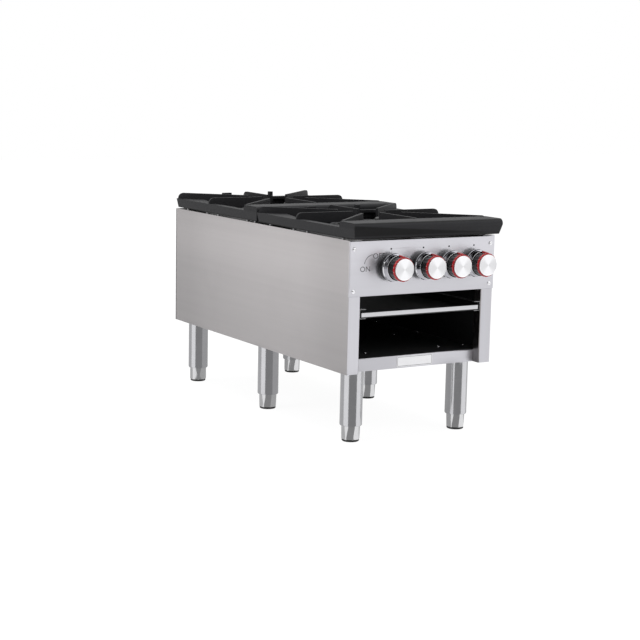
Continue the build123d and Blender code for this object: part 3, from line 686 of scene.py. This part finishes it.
def set_out(name, template, sites, finish, slot, node, seed, axis=(0.0, 0.0, 1.0)):
    """Replace a node by one plain object that repeats a template mesh on a list of places."""
    tree = bpy.data.node_groups.get("Set out") or set_out_tree()
    pattern = placed("pattern", template)
    points = bpy.data.meshes.new(name)
    points.from_pydata([tuple(site) for site in sites], [], [])
    piece = placed(name, points)
    spread = piece.modifiers.new("Set out", "NODES")
    spread.node_group = tree
    given = {"Piece": pattern, "Axis": axis, "Chance turn": math.tau, "Seed": seed}
    given["Finish"] = finish
    inputs = {item.name: item.identifier for item in tree.interface.items_tree}
    for key, value in given.items():
        spread[inputs[key]] = value
    piece.data.update()
    baked(piece)
    bpy.data.objects.remove(pattern)
    return seat(piece, "root", slot, node)


# ---- shapes: sizes in metres, angles in degrees
WORDS = (("OFF", -0.158, -0.1215, 0.488), ("ON", -0.196, -0.166, 0.4555))
ARC_CENTRE = (-0.157, 0.472)
ARC_RADIUS = 0.0263
ARC_WIDTH = 0.0018
ARC_TURN = (94.0, 172.0)
PLATE_CORNER = 0.0015
INK_LIFT = 0.00006
INK_HALF = 0.00002
GRIP_RADIUS = 0.0305
GRIP_FRONT = 0.057
FLUTE_FOOT = 0.037
FLUTE_DEPTH = 0.0009
GRIP_FACE = 0.029
RING_FACE = 0.0295
NOTCH_DEPTH = 0.0011
BLADE_FOOT = 0.032
FOOT_RADIUS = 0.02475
FOOT_FACE = 0.02
FOOT_TOP = 0.07
FLAT_HEIGHT = 0.034
FLAT_DEPTH = 0.072
PILOT_RADIUS = 0.009
SLOT_FACE = 0.0088
SLOT_DEPTH = 0.0012
TAB_HALF = 0.005
TAB_THICK = 0.003
FOOT_TURN = 2.4


def bezel_mesh():
    """A flared chrome cup round the foot of a grip."""
    outline = [
        (0.009, 0.0), (0.0345, 0.0), (0.0345, 0.016), (0.037, 0.016, 0.0005),
        (0.037, 0.019, 0.0012), (0.0356, 0.0215, 0.003), (0.033, 0.036, 0.0007),
        (0.0315, 0.036, 0.0006), (0.0315, 0.004), (0.009, 0.004),
    ]
    return turned(corners(outline), 128)


def grip_mesh(flutes):
    """A black grip with shallow finger flutes that run out before its front edge."""
    outline = [(0.0, 0.005), (GRIP_RADIUS, 0.005, 0.0006)]
    outline += [(GRIP_RADIUS, height) for height in (FLUTE_FOOT, 0.042, 0.052, 0.055)]
    outline += [(GRIP_RADIUS, GRIP_FRONT, 0.0005), (0.0, GRIP_FRONT)]

    def fluted(radius, height, angle):
        ends = min(1.0, (height - FLUTE_FOOT) / 0.005, (GRIP_FRONT - height) / 0.004)
        wave = (1.0 - math.cos(flutes * angle)) / 2
        return radius - FLUTE_DEPTH * max(0.0, ends) * wave**2, height

    return turned(corners(outline), 192, fluted, GRIP_FACE)


def ring_mesh(notches):
    """The red ring round the disc, notched on its rim."""
    outline = [
        (0.0283, GRIP_FRONT), (0.0315, GRIP_FRONT, 0.0005), (0.0315, 0.06),
        (0.0304, 0.0615, 0.0007), (0.0283, 0.0615, 0.0003),
    ]

    def notched(radius, height, angle):
        wave = max(0.0, -math.cos(notches * angle))
        return radius - NOTCH_DEPTH * wave**4, height

    return turned(corners(outline), 256, notched, RING_FACE)


def fin_mesh():
    """The pointer's blade, laid along the top of the grip, its long upper edges eased."""
    side = [(-0.0613, 0.03), (-0.0613, 0.0329), (-0.04, 0.0353), (-0.038, 0.0338)]
    side += [(-0.038, 0.0303)]
    rows = []
    for x, drop in ((-0.003, 0.0006), (-0.0024, 0.0), (0.0024, 0.0), (0.003, 0.0006)):
        rows.append([(x, y, z - drop if z > BLADE_FOOT else z) for y, z in side])
    return lofted(rows, "fin")


def disc_mesh():
    """The spun disc: a bright rolled rim round a face that dips slightly."""
    outline = [
        (0.0, GRIP_FRONT), (0.028, GRIP_FRONT), (0.028, 0.0657, 0.0009),
        (0.0262, 0.0657, 0.0004), (0.0258, 0.0653, 0.0003), (0.0, 0.0655),
    ]
    return turned(corners(outline, 4), 128)


def pilot_mesh(height):
    """A pilot's neck and slotted dome."""
    outline = [
        (0.0, 0.0), (0.005, 0.0, 0.0004), (0.005, height - 0.024, 0.001),
        (0.0062, height - 0.0225, 0.0006), (0.0062, height - 0.0185, 0.0006),
        (0.005, height - 0.017, 0.001), (0.009, height - 0.015, 0.0008),
        (0.009, height - 0.0125), (0.009, height - 0.0085), (0.009, height - 0.0068, 0.0006),
        (0.0078, height - 0.0032, 0.002), (0.0045, height - 0.0008, 0.002), (0.0, height),
    ]

    def slotted(radius, level, angle):
        on_rim = -0.013 < level - height < -0.008
        slot = max(0.0, math.cos(8 * angle)) ** 6 if on_rim else 0.0
        return radius - SLOT_DEPTH * slot, level

    return turned(corners(outline, 4), 96, slotted, SLOT_FACE)


def tube_mesh(low, high):
    """A leg tube, its lower end spun in to a rounded lip."""
    outline = [
        (0.02825, high), (0.02975, high), (0.02975, (low + high) / 2),
        (0.02975, low + 0.003, 0.002), (0.0289, low + 0.0008, 0.0012),
        (0.0271, low, 0.001), (0.0251, low, 0.0004), (0.0251, low + 0.0015),
        (0.02675, low + 0.0015), (0.02825, low + 0.004),
    ]
    return turned(corners(outline), 128)


def insert_mesh(low, top):
    """A threaded foot, round above and cut to eight flats below."""
    steps = 12
    span = FOOT_TOP - low - 0.0016
    side = [(FOOT_RADIUS, low + 0.0008 + span * step / steps) for step in range(steps)]
    outline = [(0.00505, low + 0.008), (0.00505, low), (0.024, low)]
    outline += side + [(FOOT_RADIUS, FOOT_TOP - 0.0006), (0.02405, FOOT_TOP)]
    outline += [(0.00635, FOOT_TOP), (0.00635, top), (0.0, top), (0.0, low + 0.008)]

    def flats(radius, height, angle):
        eighth = math.pi / 8
        off = (angle + eighth) % (2 * eighth) - eighth
        drop = max(0.0, 1.0 - (height - low) / FLAT_HEIGHT)
        apothem = FOOT_RADIUS * (1.0 - FLAT_DEPTH * drop)
        return min(radius, apothem / math.cos(off)), height

    return turned(outline, 192, flats, FOOT_FACE)


def glide_mesh():
    """The black glide under a foot, with its spigot."""
    outline = [
        (0.0, 0.0), (0.0215, 0.0, 0.001), (0.023, 0.0015, 0.0012), (0.023, 0.006, 0.0006),
        (0.005, 0.006), (0.005, 0.014, 0.0006), (0.0, 0.014),
    ]
    return turned(corners(outline), 96)


def screw_mesh(radius, height, tip, shank):
    """A dome-headed screw with a cross recess and a pointed shank."""
    rings = 9
    outline = [(0.0, tip), (shank * 0.5, tip), (shank, tip + shank), (shank, 0.0)]
    outline += [(radius - 0.0002, 0.0), (radius, 0.0003)]
    for ring in range(1, rings + 1):
        turn = ring * math.pi / 2 / rings
        level = 0.0003 + (height - 0.0003) * math.sin(turn)
        outline.append((radius * math.cos(turn) ** 0.8, level))

    def crossed(reach, level, angle):
        if level < height * 0.45:
            return reach, level
        across = min(abs(math.sin(angle)), abs(math.cos(angle))) * reach
        edge = 1.0 if across < radius * 0.1 else 0.0
        return reach, level - edge * height * 0.35 * (1.0 - (reach / radius) ** 2)

    return turned(outline, 96, crossed)


def rest_mesh(height):
    """A small button that carries a grate."""
    outline = [
        (0.0, 0.0), (0.0045, 0.0, 0.0003), (0.0045, height - 0.0012, 0.0006),
        (0.0036, height, 0.0005), (0.0, height),
    ]
    return turned(corners(outline), 48)


def plate_mesh(low, high):
    """The plate, with eased corners and a rolled edge."""
    ends = ((low.x, low.z), (high.x, low.z), (high.x, high.z), (low.x, high.z))
    ring = [(*end, PLATE_CORNER) for end in ends]
    outline = corners([ring[-1], *ring, ring[0]])[1:-1]
    mesh = extruded(outline, 0.0, high.y - low.y)
    piece = link("plate", moved(mesh, facing_front((0.0, high.y, 0.0))), None)
    roll = piece.modifiers.new("Rolled edge", "BEVEL")
    roll.width = 0.0003
    roll.segments = 3
    roll.limit_method = "ANGLE"
    mesh = smooth(baked(piece).data)
    bpy.data.objects.remove(piece)
    return mesh


def plate_finish(low, high):
    """Pale satin plate with one thin printed border."""
    finish = Finish("Plate")
    centre, half = (low + high) / 2, (high - low) / 2
    inset_x = half.x - (finish.axis("X") - centre.x).absolute()
    inset = inset_x.least(half.z - (finish.axis("Z") - centre.z).absolute())
    line = (inset > 0.0016) * (inset < 0.0026)
    grain = finish.clouds(1.0, 2.0, 0.5, (9.0, 2200.0, 2200.0))
    tone = finish.blend((0.91, 0.91, 0.92), (0.96, 0.96, 0.97), grain)
    tone = finish.blend(tone, (0.07, 0.07, 0.08), line)
    return finish.surface(tone, 0.34 + grain * 0.1, 0.0, finish.bump(grain, 0.00002, 0.4))


def word_mesh(letters, left, right, base, height):
    """A printed word, fitted between two places across the panel."""
    text = bpy.data.curves.new(letters, "FONT")
    text.body = letters
    text.extrude = INK_HALF
    holder = placed(letters, text)
    mesh = evaluated(holder)
    bpy.data.objects.remove(holder)
    across = [vert.co.x for vert in mesh.vertices]
    upward = [vert.co.y for vert in mesh.vertices]
    grow = (right - left) / (max(across) - min(across))
    rise = height / (max(upward) - min(upward))
    for vert in mesh.vertices:
        x = left + (vert.co.x - min(across)) * grow
        z = base + (vert.co.y - min(upward)) * rise
        vert.co = (x, FRONT_Y - INK_LIFT - vert.co.z, z)
    return mesh


def arc_mesh():
    """The line that sweeps from one word to the other."""
    steps = 32
    first, last = ARC_TURN
    x, z = ARC_CENTRE
    inner, outer = [], []
    for step in range(steps + 1):
        angle = math.radians(first + (last - first) * step / steps)
        for half, row in ((-ARC_WIDTH / 2, inner), (ARC_WIDTH / 2, outer)):
            reach = ARC_RADIUS + half
            row.append((x + reach * math.cos(angle), z + reach * math.sin(angle)))
    mesh = extruded(inner + outer[::-1], INK_LIFT - INK_HALF, INK_LIFT + INK_HALF)
    return moved(mesh, facing_front((0.0, FRONT_Y, 0.0)))


# ---- studio
CAMERA_PLACE = Vector((-2.27734, -3.71302, 0.93942))
CAMERA_TURN = (31.2783, 9.0013, 1.2394)
CAMERA_LENS = 85.89
AIM = Vector((0.0, 0.0, 0.35))
FLOOR_SIZE = 24.0
FLOOR_WHITE = 0.85
FLOOR_GLOW = 1.1
SKY_COLOUR = (0.8, 0.8, 0.81)
CARDS = (
    ("Left flag", (-3.2, 3.4, 1.2), (3.0, 3.4), (0.45, 0.44, 0.43)),
    ("Front flag", (-2.5, -1.6, 1.35), (3.2, 1.7), (0.05, 0.05, 0.05)),
)
FOOT_SITES = [middle(f"foot_pad_{place}").xy for place in FEET]
LEFT_FEET = sorted((site for site in FOOT_SITES if site.x < 0), key=lambda site: site.y)
RIGHT_FEET = [site for site in FOOT_SITES if site.x > 0]
# Mats and walls round the feet and before the front, seen only in the metal: painted shade for the
# shaded floor and dark surroundings that the legs reflect.
COLLAR = (0.1, 0.175)
BAYS = (
    ("Leg shade", 0.3, FOOT_SITES, *COLLAR, -25.0, 46.0),
    ("Outer grey", 0.58, LEFT_FEET, *COLLAR, -180.0, -71.0),
    ("Front grey", 0.62, [LEFT_FEET[0], *RIGHT_FEET], *COLLAR, 105.0, 180.0),
    ("Under grey", 0.48, LEFT_FEET[1:], *COLLAR, 46.0, 180.0),
    ("Inner grey", 0.42, RIGHT_FEET, *COLLAR, -180.0, -55.0),
    ("Camera bay", 0.16, [(0.0, FRONT_Y)], 4.0, 2.2, -20.0, 26.0),
)
SOFTBOXES = (
    ("Key", (2.2, -3.2, 2.6), (2.0, 2.0), 12.0),
    ("Fill", (-3.4, 0.4, 2.2), (2.2, 2.0), 34.0),
    ("Top", (0.0, 0.2, 3.4), (3.0, 3.0), 40.0),
)


def sheet(name, wide, tall):
    """A flat rectangle about the origin."""
    x, y = wide / 2, tall / 2
    mesh = bpy.data.meshes.new(name)
    mesh.from_pydata([(-x, -y, 0.0), (x, -y, 0.0), (x, y, 0.0), (-x, y, 0.0)], [], [(0, 1, 2, 3)])
    return mesh


def lay_floor():
    """White paper that also glows a little where the camera sees it."""
    finish = Finish("Studio floor")
    paper = finish.node("BsdfDiffuse", ((0.86, 0.86, 0.86, 1.0),))
    white = finish.node("Emission", ((1.0, 1.0, 1.0, 1.0), FLOOR_GLOW))
    seen = seen_plainly(finish)
    finish = finish.end("MixShader", (seen * FLOOR_WHITE, paper, white))
    link("studio_floor", sheet("studio_floor", FLOOR_SIZE, FLOOR_SIZE), finish)


def set_world(scene):
    """A pale sky for the light, and plain white behind the object."""
    scene.world = scene.world or bpy.data.worlds.new("Studio")
    sky = Finish(world=scene.world)
    light = sky.node("Background", ((*SKY_COLOUR, 1.0), 1.0))
    white = sky.node("Background", ((1.0, 1.0, 1.0, 1.0), 1.0))
    sky.end("MixShader", (seen_plainly(sky), light, white))


def seen_plainly(finish):
    """1 for the camera's own rays and for those that it sends off a mirror or through glass."""
    path = finish.node("LightPath").socket.node.outputs
    rays = ("Is Camera Ray", "Is Glossy Ray", "Is Transmission Ray")
    camera, glossy, through = (Signal(finish, path[ray]) for ray in rays)
    return (camera + glossy + through).least(1.0)


def hang_card(name, place, size, tone):
    """A flag beside the set that only the metal sees."""
    place = Vector(place)
    turn = (AIM - place).to_track_quat("Z", "Y").to_matrix().to_4x4()
    hang_flag(name, moved(sheet(name, *size), Matrix.Translation(place) @ turn), tone)


def hang_bay(name, tone, sites, radius, height, first, last):
    """A mat and a wall round each site, over a turn counted from the camera's side."""
    shape = bmesh.new()
    steps = 24
    for x, y in sites:
        before = None
        for step in range(steps + 1):
            turn = math.radians(first + (last - first) * step / steps + 270.0 - CAMERA_TURN[0])
            across, along = radius * math.cos(turn), radius * math.sin(turn)
            spots = ((0.25, 0.0009), (1.0, 0.001), (1.0, height))
            after = [shape.verts.new((x + across * out, y + along * out, z)) for out, z in spots]
            for low in (0, 1) if before else ():
                shape.faces.new((before[low], after[low], after[low + 1], before[low + 1]))
            before = after
    hang_flag(name, kept(shape, name), (tone,) * 3)


def hang_flag(name, mesh, tone):
    """Hang a mesh where only the metal sees it."""
    finish = Finish(name)
    weave = finish.tones(tone, 0.9, 1.1, finish.clouds(3.0))
    flag = link(name, mesh, finish.end("Emission", (weave, 1.0)))
    flag.visible_camera = flag.visible_diffuse = flag.visible_shadow = False


def hang_softbox(name, place, size, power):
    """A rectangular lamp that looks at the middle of the set."""
    light = bpy.data.lights.new(name, "AREA")
    light.shape = "RECTANGLE"
    light.size, light.size_y = size
    light.energy = power
    lamp = placed(name, light)
    lamp.location = place
    lamp.rotation_euler = (AIM - Vector(place)).to_track_quat("-Z", "Y").to_euler()


def set_camera(scene):
    """The camera of the photo, from its place and its turn, pitch and roll."""
    yaw, pitch, roll = (math.radians(angle) for angle in CAMERA_TURN)
    ahead = Vector(
        (math.sin(yaw) * math.cos(pitch), math.cos(yaw) * math.cos(pitch), -math.sin(pitch))
    )
    level = Vector((math.cos(yaw), -math.sin(yaw), 0.0))
    upright = level.cross(ahead)
    right = math.cos(roll) * level + math.sin(roll) * upright
    up = math.cos(roll) * upright - math.sin(roll) * level
    data = bpy.data.cameras.new("Camera")
    data.sensor_width = 36.0
    data.lens = CAMERA_LENS
    data.clip_end = 100.0
    camera = placed("Camera", data)
    turn = Matrix((right, up, -ahead)).transposed().to_4x4()
    camera.matrix_world = Matrix.Translation(CAMERA_PLACE) @ turn
    scene.camera = camera


# ---- settings
def colour_setting(name, text, value):
    return FloatVectorProperty(name=name, description=text, subtype="COLOR", size=3, default=value)


def length_setting(name, text, value):
    return FloatProperty(name=name, description=text, unit="LENGTH", default=value, min=0.0)


class RangeLooks(bpy.types.PropertyGroup):
    """Sizes and colours that a user would change."""

    # Side and front are one steel: the side colour darker and warmer than the front is painted
    # shade.
    side_colour: colour_setting("Side colour", "Steel of the sides and back", (0.61, 0.585, 0.59))
    front_colour: colour_setting("Front colour", "Steel of the front", (0.665, 0.66, 0.7))
    iron_colour: colour_setting("Iron colour", "Iron of the castings", (0.014, 0.014, 0.0155))
    pointer_colour: colour_setting("Pointer colour", "Red of the pointers", (0.38, 0.008, 0.012))
    sheet_edge: length_setting("Sheet edge", "Rounding of cut sheet edges", 0.0004)
    cast_edge: length_setting("Cast edge", "Rounding of the castings' edges", 0.0016)
    letter_height: length_setting("Letter height", "Height of the printed words", 0.0135)
    flutes: IntProperty(name="Flutes", description="Grooves round each knob", default=16, min=3)


class PieceMaker:
    """What the operators share."""

    bl_options = {"REGISTER", "UNDO"}

    def execute(self, context):
        self.make(context.scene.range_looks)
        return {"FINISHED"}


class RANGE_OT_cabinet(PieceMaker, bpy.types.Operator):
    """Finish the panels, the rail, the floor and the base"""

    bl_idname = "range.cabinet"
    bl_label = "Cabinet"

    def make(self, looks):
        # Back, posts and rail are darker copies of the side and front steel: painted shade.
        side, front, edge = looks.side_colour, looks.front_colour, looks.sheet_edge
        sides = brushed("Side stainless", side, "y", 0.33, inside_of_sides, painted_shade=SIDE_PAINTED_SHADE)
        posts = brushed("Post stainless", shade(front, 0.93), "z", 0.36, painted_shade=POST_PAINTED_SHADE)
        for hand in ("left", "right"):
            node = f"side_panel_{hand}"
            piece = softened(node, f"side_{hand}", sides, edge)
            piece.data.materials.append(posts)
            for face in piece.data.polygons:
                if face.normal.y < -0.7 and face.center.y < FRONT_Y + POST_FACE:
                    face.material_index = 1
            seat(piece, "root", "side_steel", node)
        back = brushed("Back stainless", shade(side, 0.8), "x", 0.36, inside_of_back)
        clad("back_panel", "back_sheet", back, edge, "root", "side_steel")
        panel = brushed("Panel stainless", front, "x", 0.32, inside_of_panel, 5e-6, PANEL_PAINTED_SHADE)
        clad("control_panel", "panel_sheet", panel, edge, "root", "front_steel")
        # The rail's faces behind its front bend are painted near black as shade.
        inside = behind(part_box("front_bottom_rail")[0].y + RAIL_BEND)
        rail = shade(front, 0.91)
        rail = brushed("Rail stainless", rail, "x", 0.36, inside, painted_shade=RAIL_PAINTED_SHADE)
        clad("front_bottom_rail", "rail_sheet", rail, edge, "root", "front_steel")
        inner = coated("Black enamel", (0.012, 0.012, 0.013))
        for node in INNER_SHEETS:
            dress(node, inner)
        dress("leg_nuts", machined("Plated nut", (0.45, 0.45, 0.44), 0.35))


class RANGE_OT_tray(PieceMaker, bpy.types.Operator):
    """Finish the drip tray and its runners"""

    bl_idname = "range.tray"
    bl_label = "Drip tray"

    def make(self, looks):
        tray = brushed("Tray sheet", (0.6, 0.6, 0.62), "x", 0.28, inside_of_tray)
        clad("drip_tray", "tray_pan", tray, looks.sheet_edge, "drip_tray", "tray_steel")
        # The runners' faces behind their front edges are painted near black as shade.
        inside = behind(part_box("tray_runners")[0].y + RUNNER_SHOWN)
        runner = brushed("Runner sheet", (0.42, 0.42, 0.43), "y", 0.4, inside)
        clad("tray_runners", "runner_pair", runner, looks.sheet_edge, "root", "tray_steel")


class RANGE_OT_castings(PieceMaker, bpy.types.Operator):
    """Finish the grates and the burners"""

    bl_idname = "range.castings"
    bl_label = "Castings"

    def make(self, looks):
        iron = cast("Cast iron", looks.iron_colour)
        fronted = cast("Grate iron", looks.iron_colour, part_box("front_grate")[0])
        for place in ("front", "rear"):
            node = f"{place}_grate"
            edge = looks.cast_edge
            clad(node, f"{place}_casting", fronted, edge, node, "cast_iron", 3, 28.0)
            for ring in ("inner", "outer"):
                dress(f"{place}_{ring}_burner", iron)


class RANGE_OT_knobs(PieceMaker, bpy.types.Operator):
    """Turn the bezels, grips, pointers and discs of the four knobs"""

    bl_idname = "range.knobs"
    bl_label = "Knobs"

    def make(self, looks):
        black = moulded("Knob black", (0.012, 0.012, 0.013), 0.16, 0.00001)
        # The bezels' foot is painted near black as shade in the gap behind the chrome band.
        gap_shade = behind(FRONT_Y - GAP_SHADE_DEPTH)
        chrome = polished("Bezel chrome", (0.72, 0.72, 0.74), 0.09, None, gap_shade)
        bezels = []
        for number in KNOBS:
            body = f"knob_{number}"
            centre = middle(f"knob_cap_{number}")
            site = Vector((centre.x, FRONT_Y, KNOB_Z))
            place = facing_front(site)
            bezels.append(moved(bezel_mesh(), place))
            grip = moved(smooth(grip_mesh(looks.flutes)), place)
            seat(link(f"grip_{number}", grip, black), body, "knob_black", f"knob_grip_{number}")
            ring = moved(ring_mesh(looks.flutes), place)
            fin = moved(fin_mesh(), Matrix.Translation(site))
            red = pointer("Pointer red", looks.pointer_colour, centre)
            piece = merged(f"pointer_{number}", red, ring, fin)
            seat(piece, body, "pointer_red", f"knob_pointer_{number}")
            disc = spun("Spun disc", (0.92, 0.92, 0.94), 0.3, centre)
            cap = link(f"disc_{number}", moved(smooth(disc_mesh(), 20.0), place), disc)
            seat(cap, body, "cap_aluminium", f"knob_cap_{number}")
        seat(merged("bezels", chrome, *bezels), "root", "bezel_chrome", "knob_bezels")


class RANGE_OT_gas_train(PieceMaker, bpy.types.Operator):
    """Finish the gas pipe, valves, stems and pilots"""

    bl_idname = "range.gas_train"
    bl_label = "Gas train"

    def make(self, looks):
        brass = machined("Valve brass", (0.62, 0.44, 0.2), 0.28)
        for node in ("gas_valves", "orifice_hoods", "pilot_valves"):
            dress(node, brass)
        for number in KNOBS:
            dress(f"valve_stem_{number}", brass)
        dress("gas_manifold", coated("Black pipe", (0.03, 0.03, 0.032)))
        dress("air_shutters", machined("Zinc plate", (0.5, 0.5, 0.48), 0.35))
        dress("pilot_tubes", polished("Pilot aluminium", (0.72, 0.72, 0.73), 0.28))
        dull = machined("Pilot steel", (0.1, 0.1, 0.1), 0.45)
        heads, tabs = [], []
        for low, high in islands("pilot_burners"):
            axis = (low.x + high.x) / 2
            front = high.y - PILOT_RADIUS
            heads.append((axis, front, low.z))
            left, right = axis - TAB_HALF, axis + TAB_HALF
            tab = [(left, low.y), (right, low.y), (right, front, 0.001), (left, front, 0.001)]
            tabs.append(extruded(corners(tab), low.z, low.z + TAB_THICK))
        head = smooth(pilot_mesh(high.z - low.z))
        set_out("pilot_heads", head, heads, dull, "tube_aluminium", "pilot_burners", 3)
        seat(merged("pilot_tabs", dull, *tabs), "root", "tube_aluminium", "pilot_burners")


class RANGE_OT_legs(PieceMaker, bpy.types.Operator):
    """Turn the leg tubes, threaded inserts and glides"""

    bl_idname = "range.legs"
    bl_label = "Legs"

    def make(self, looks):
        steel = polished("Leg tube", (0.6, 0.6, 0.62), 0.16, "z", depth=0.000004)
        low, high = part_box("leg_tubes")
        sites = []
        for index, place in enumerate(FEET):
            site = middle(f"foot_pad_{place}")
            site.z = 0.0
            sites.append(site)
            turn = Matrix.Translation(site) @ Matrix.Rotation(FOOT_TURN * index, 4, "Z")
            base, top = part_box(f"foot_insert_{place}")
            finish = polished("Foot insert", (0.68, 0.68, 0.69), 0.15, "z", depth=0.000004)
            mesh = moved(smooth(insert_mesh(base.z, top.z), 12.0), turn)
            foot = link(f"insert_{place}", mesh, finish)
            seat(foot, f"insert_{place}", "leg_steel", f"foot_insert_{place}")
            black = moulded("Glide black", (0.01, 0.01, 0.01), 0.5)
            glide = link(f"glide_{place}", moved(smooth(glide_mesh()), turn), black)
            seat(glide, f"pad_{place}", "pad_plastic", f"foot_pad_{place}")
        tube = smooth(tube_mesh(low.z, high.z))
        set_out("tubes", tube, sites, steel, "leg_steel", "leg_tubes", 5)


class RANGE_OT_fasteners(PieceMaker, bpy.types.Operator):
    """Set out the screws and the grate rests"""

    bl_idname = "range.fasteners"
    bl_label = "Fasteners"

    def make(self, looks):
        bright = polished("Screw steel", (0.92, 0.92, 0.94), 0.12)
        head = screw_mesh(0.0055, 0.003, FRONT_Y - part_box("panel_screws")[1].y, 0.0024)
        head = moved(smooth(head), facing_front((0.0, 0.0, 0.0)))
        sites, axis = centres("panel_screws", "y", FRONT_Y), (0.0, 1.0, 0.0)
        set_out("front_screws", head, sites, bright, "fastener_steel", "panel_screws", 4, axis)
        floor_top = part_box("cabinet_floor")[1].z
        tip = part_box("floor_screws")[0].z - floor_top
        head = smooth(screw_mesh(0.004, 0.0022, tip, 0.002))
        sites = centres("floor_screws", "z", floor_top)
        set_out("base_screws", head, sites, bright, "fastener_steel", "floor_screws", 6)
        low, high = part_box("grate_rests")
        sites = centres("grate_rests", "z", low.z)
        dull = machined("Rest steel", (0.3, 0.3, 0.31), 0.34)
        rest = smooth(rest_mesh(high.z - low.z))
        set_out("rests", rest, sites, dull, "fastener_steel", "grate_rests", 8)


class RANGE_OT_markings(PieceMaker, bpy.types.Operator):
    """Finish the bare plate and print the words beside the first knob"""

    bl_idname = "range.markings"
    bl_label = "Markings"

    def make(self, looks):
        low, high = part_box("name_plate")
        plate = link("bare_plate", plate_mesh(low, high), plate_finish(low, high))
        seat(plate, "root", "front_steel", "name_plate")
        ink = printed("Ink", (0.1, 0.1, 0.105))
        for word, *place in WORDS:
            piece = link(f"word_{word.lower()}", word_mesh(word, *place, looks.letter_height), ink)
            seat(piece, "root", "front_steel")
        seat(link("turn_arc", arc_mesh(), ink), "root", "front_steel")


class RANGE_OT_studio(PieceMaker, bpy.types.Operator):
    """Set the floor, the lights, the world and the camera"""

    bl_idname = "range.studio"
    bl_label = "Studio"

    def make(self, looks):
        scene = bpy.context.scene
        scene.view_settings.view_transform = "Standard"
        lay_floor()
        set_world(scene)
        for lamp in SOFTBOXES:
            hang_softbox(*lamp)
        for card in CARDS:
            hang_card(*card)
        for bay in BAYS:
            hang_bay(*bay)
        set_camera(scene)


class RANGE_PT_panel(bpy.types.Panel):
    """The range's settings and makers"""

    bl_idname = "RANGE_PT_panel"
    bl_label = "Stock Pot Range"
    bl_space_type = "VIEW_3D"
    bl_region_type = "UI"
    bl_category = "Range"

    def draw(self, context):
        looks = context.scene.range_looks
        for name in RangeLooks.__annotations__:
            self.layout.prop(looks, name)
        for maker in MAKERS:
            self.layout.operator(maker.bl_idname)


MAKERS = (
    RANGE_OT_cabinet, RANGE_OT_tray, RANGE_OT_castings, RANGE_OT_knobs, RANGE_OT_gas_train,
    RANGE_OT_legs, RANGE_OT_fasteners, RANGE_OT_markings, RANGE_OT_studio,
)
CLASSES = (RangeLooks, *MAKERS, RANGE_PT_panel)


def register():
    for kind in CLASSES:
        bpy.utils.register_class(kind)
    bpy.types.Scene.range_looks = PointerProperty(type=RangeLooks)


def unregister():
    del bpy.types.Scene.range_looks
    for kind in reversed(CLASSES):
        bpy.utils.unregister_class(kind)


def main():
    """Register the settings and makers, and make every piece in order."""
    register()
    for maker in MAKERS:
        group, name = maker.bl_idname.split(".")
        getattr(getattr(bpy.ops, group), name)()


if __name__ == "__main__":
    main()
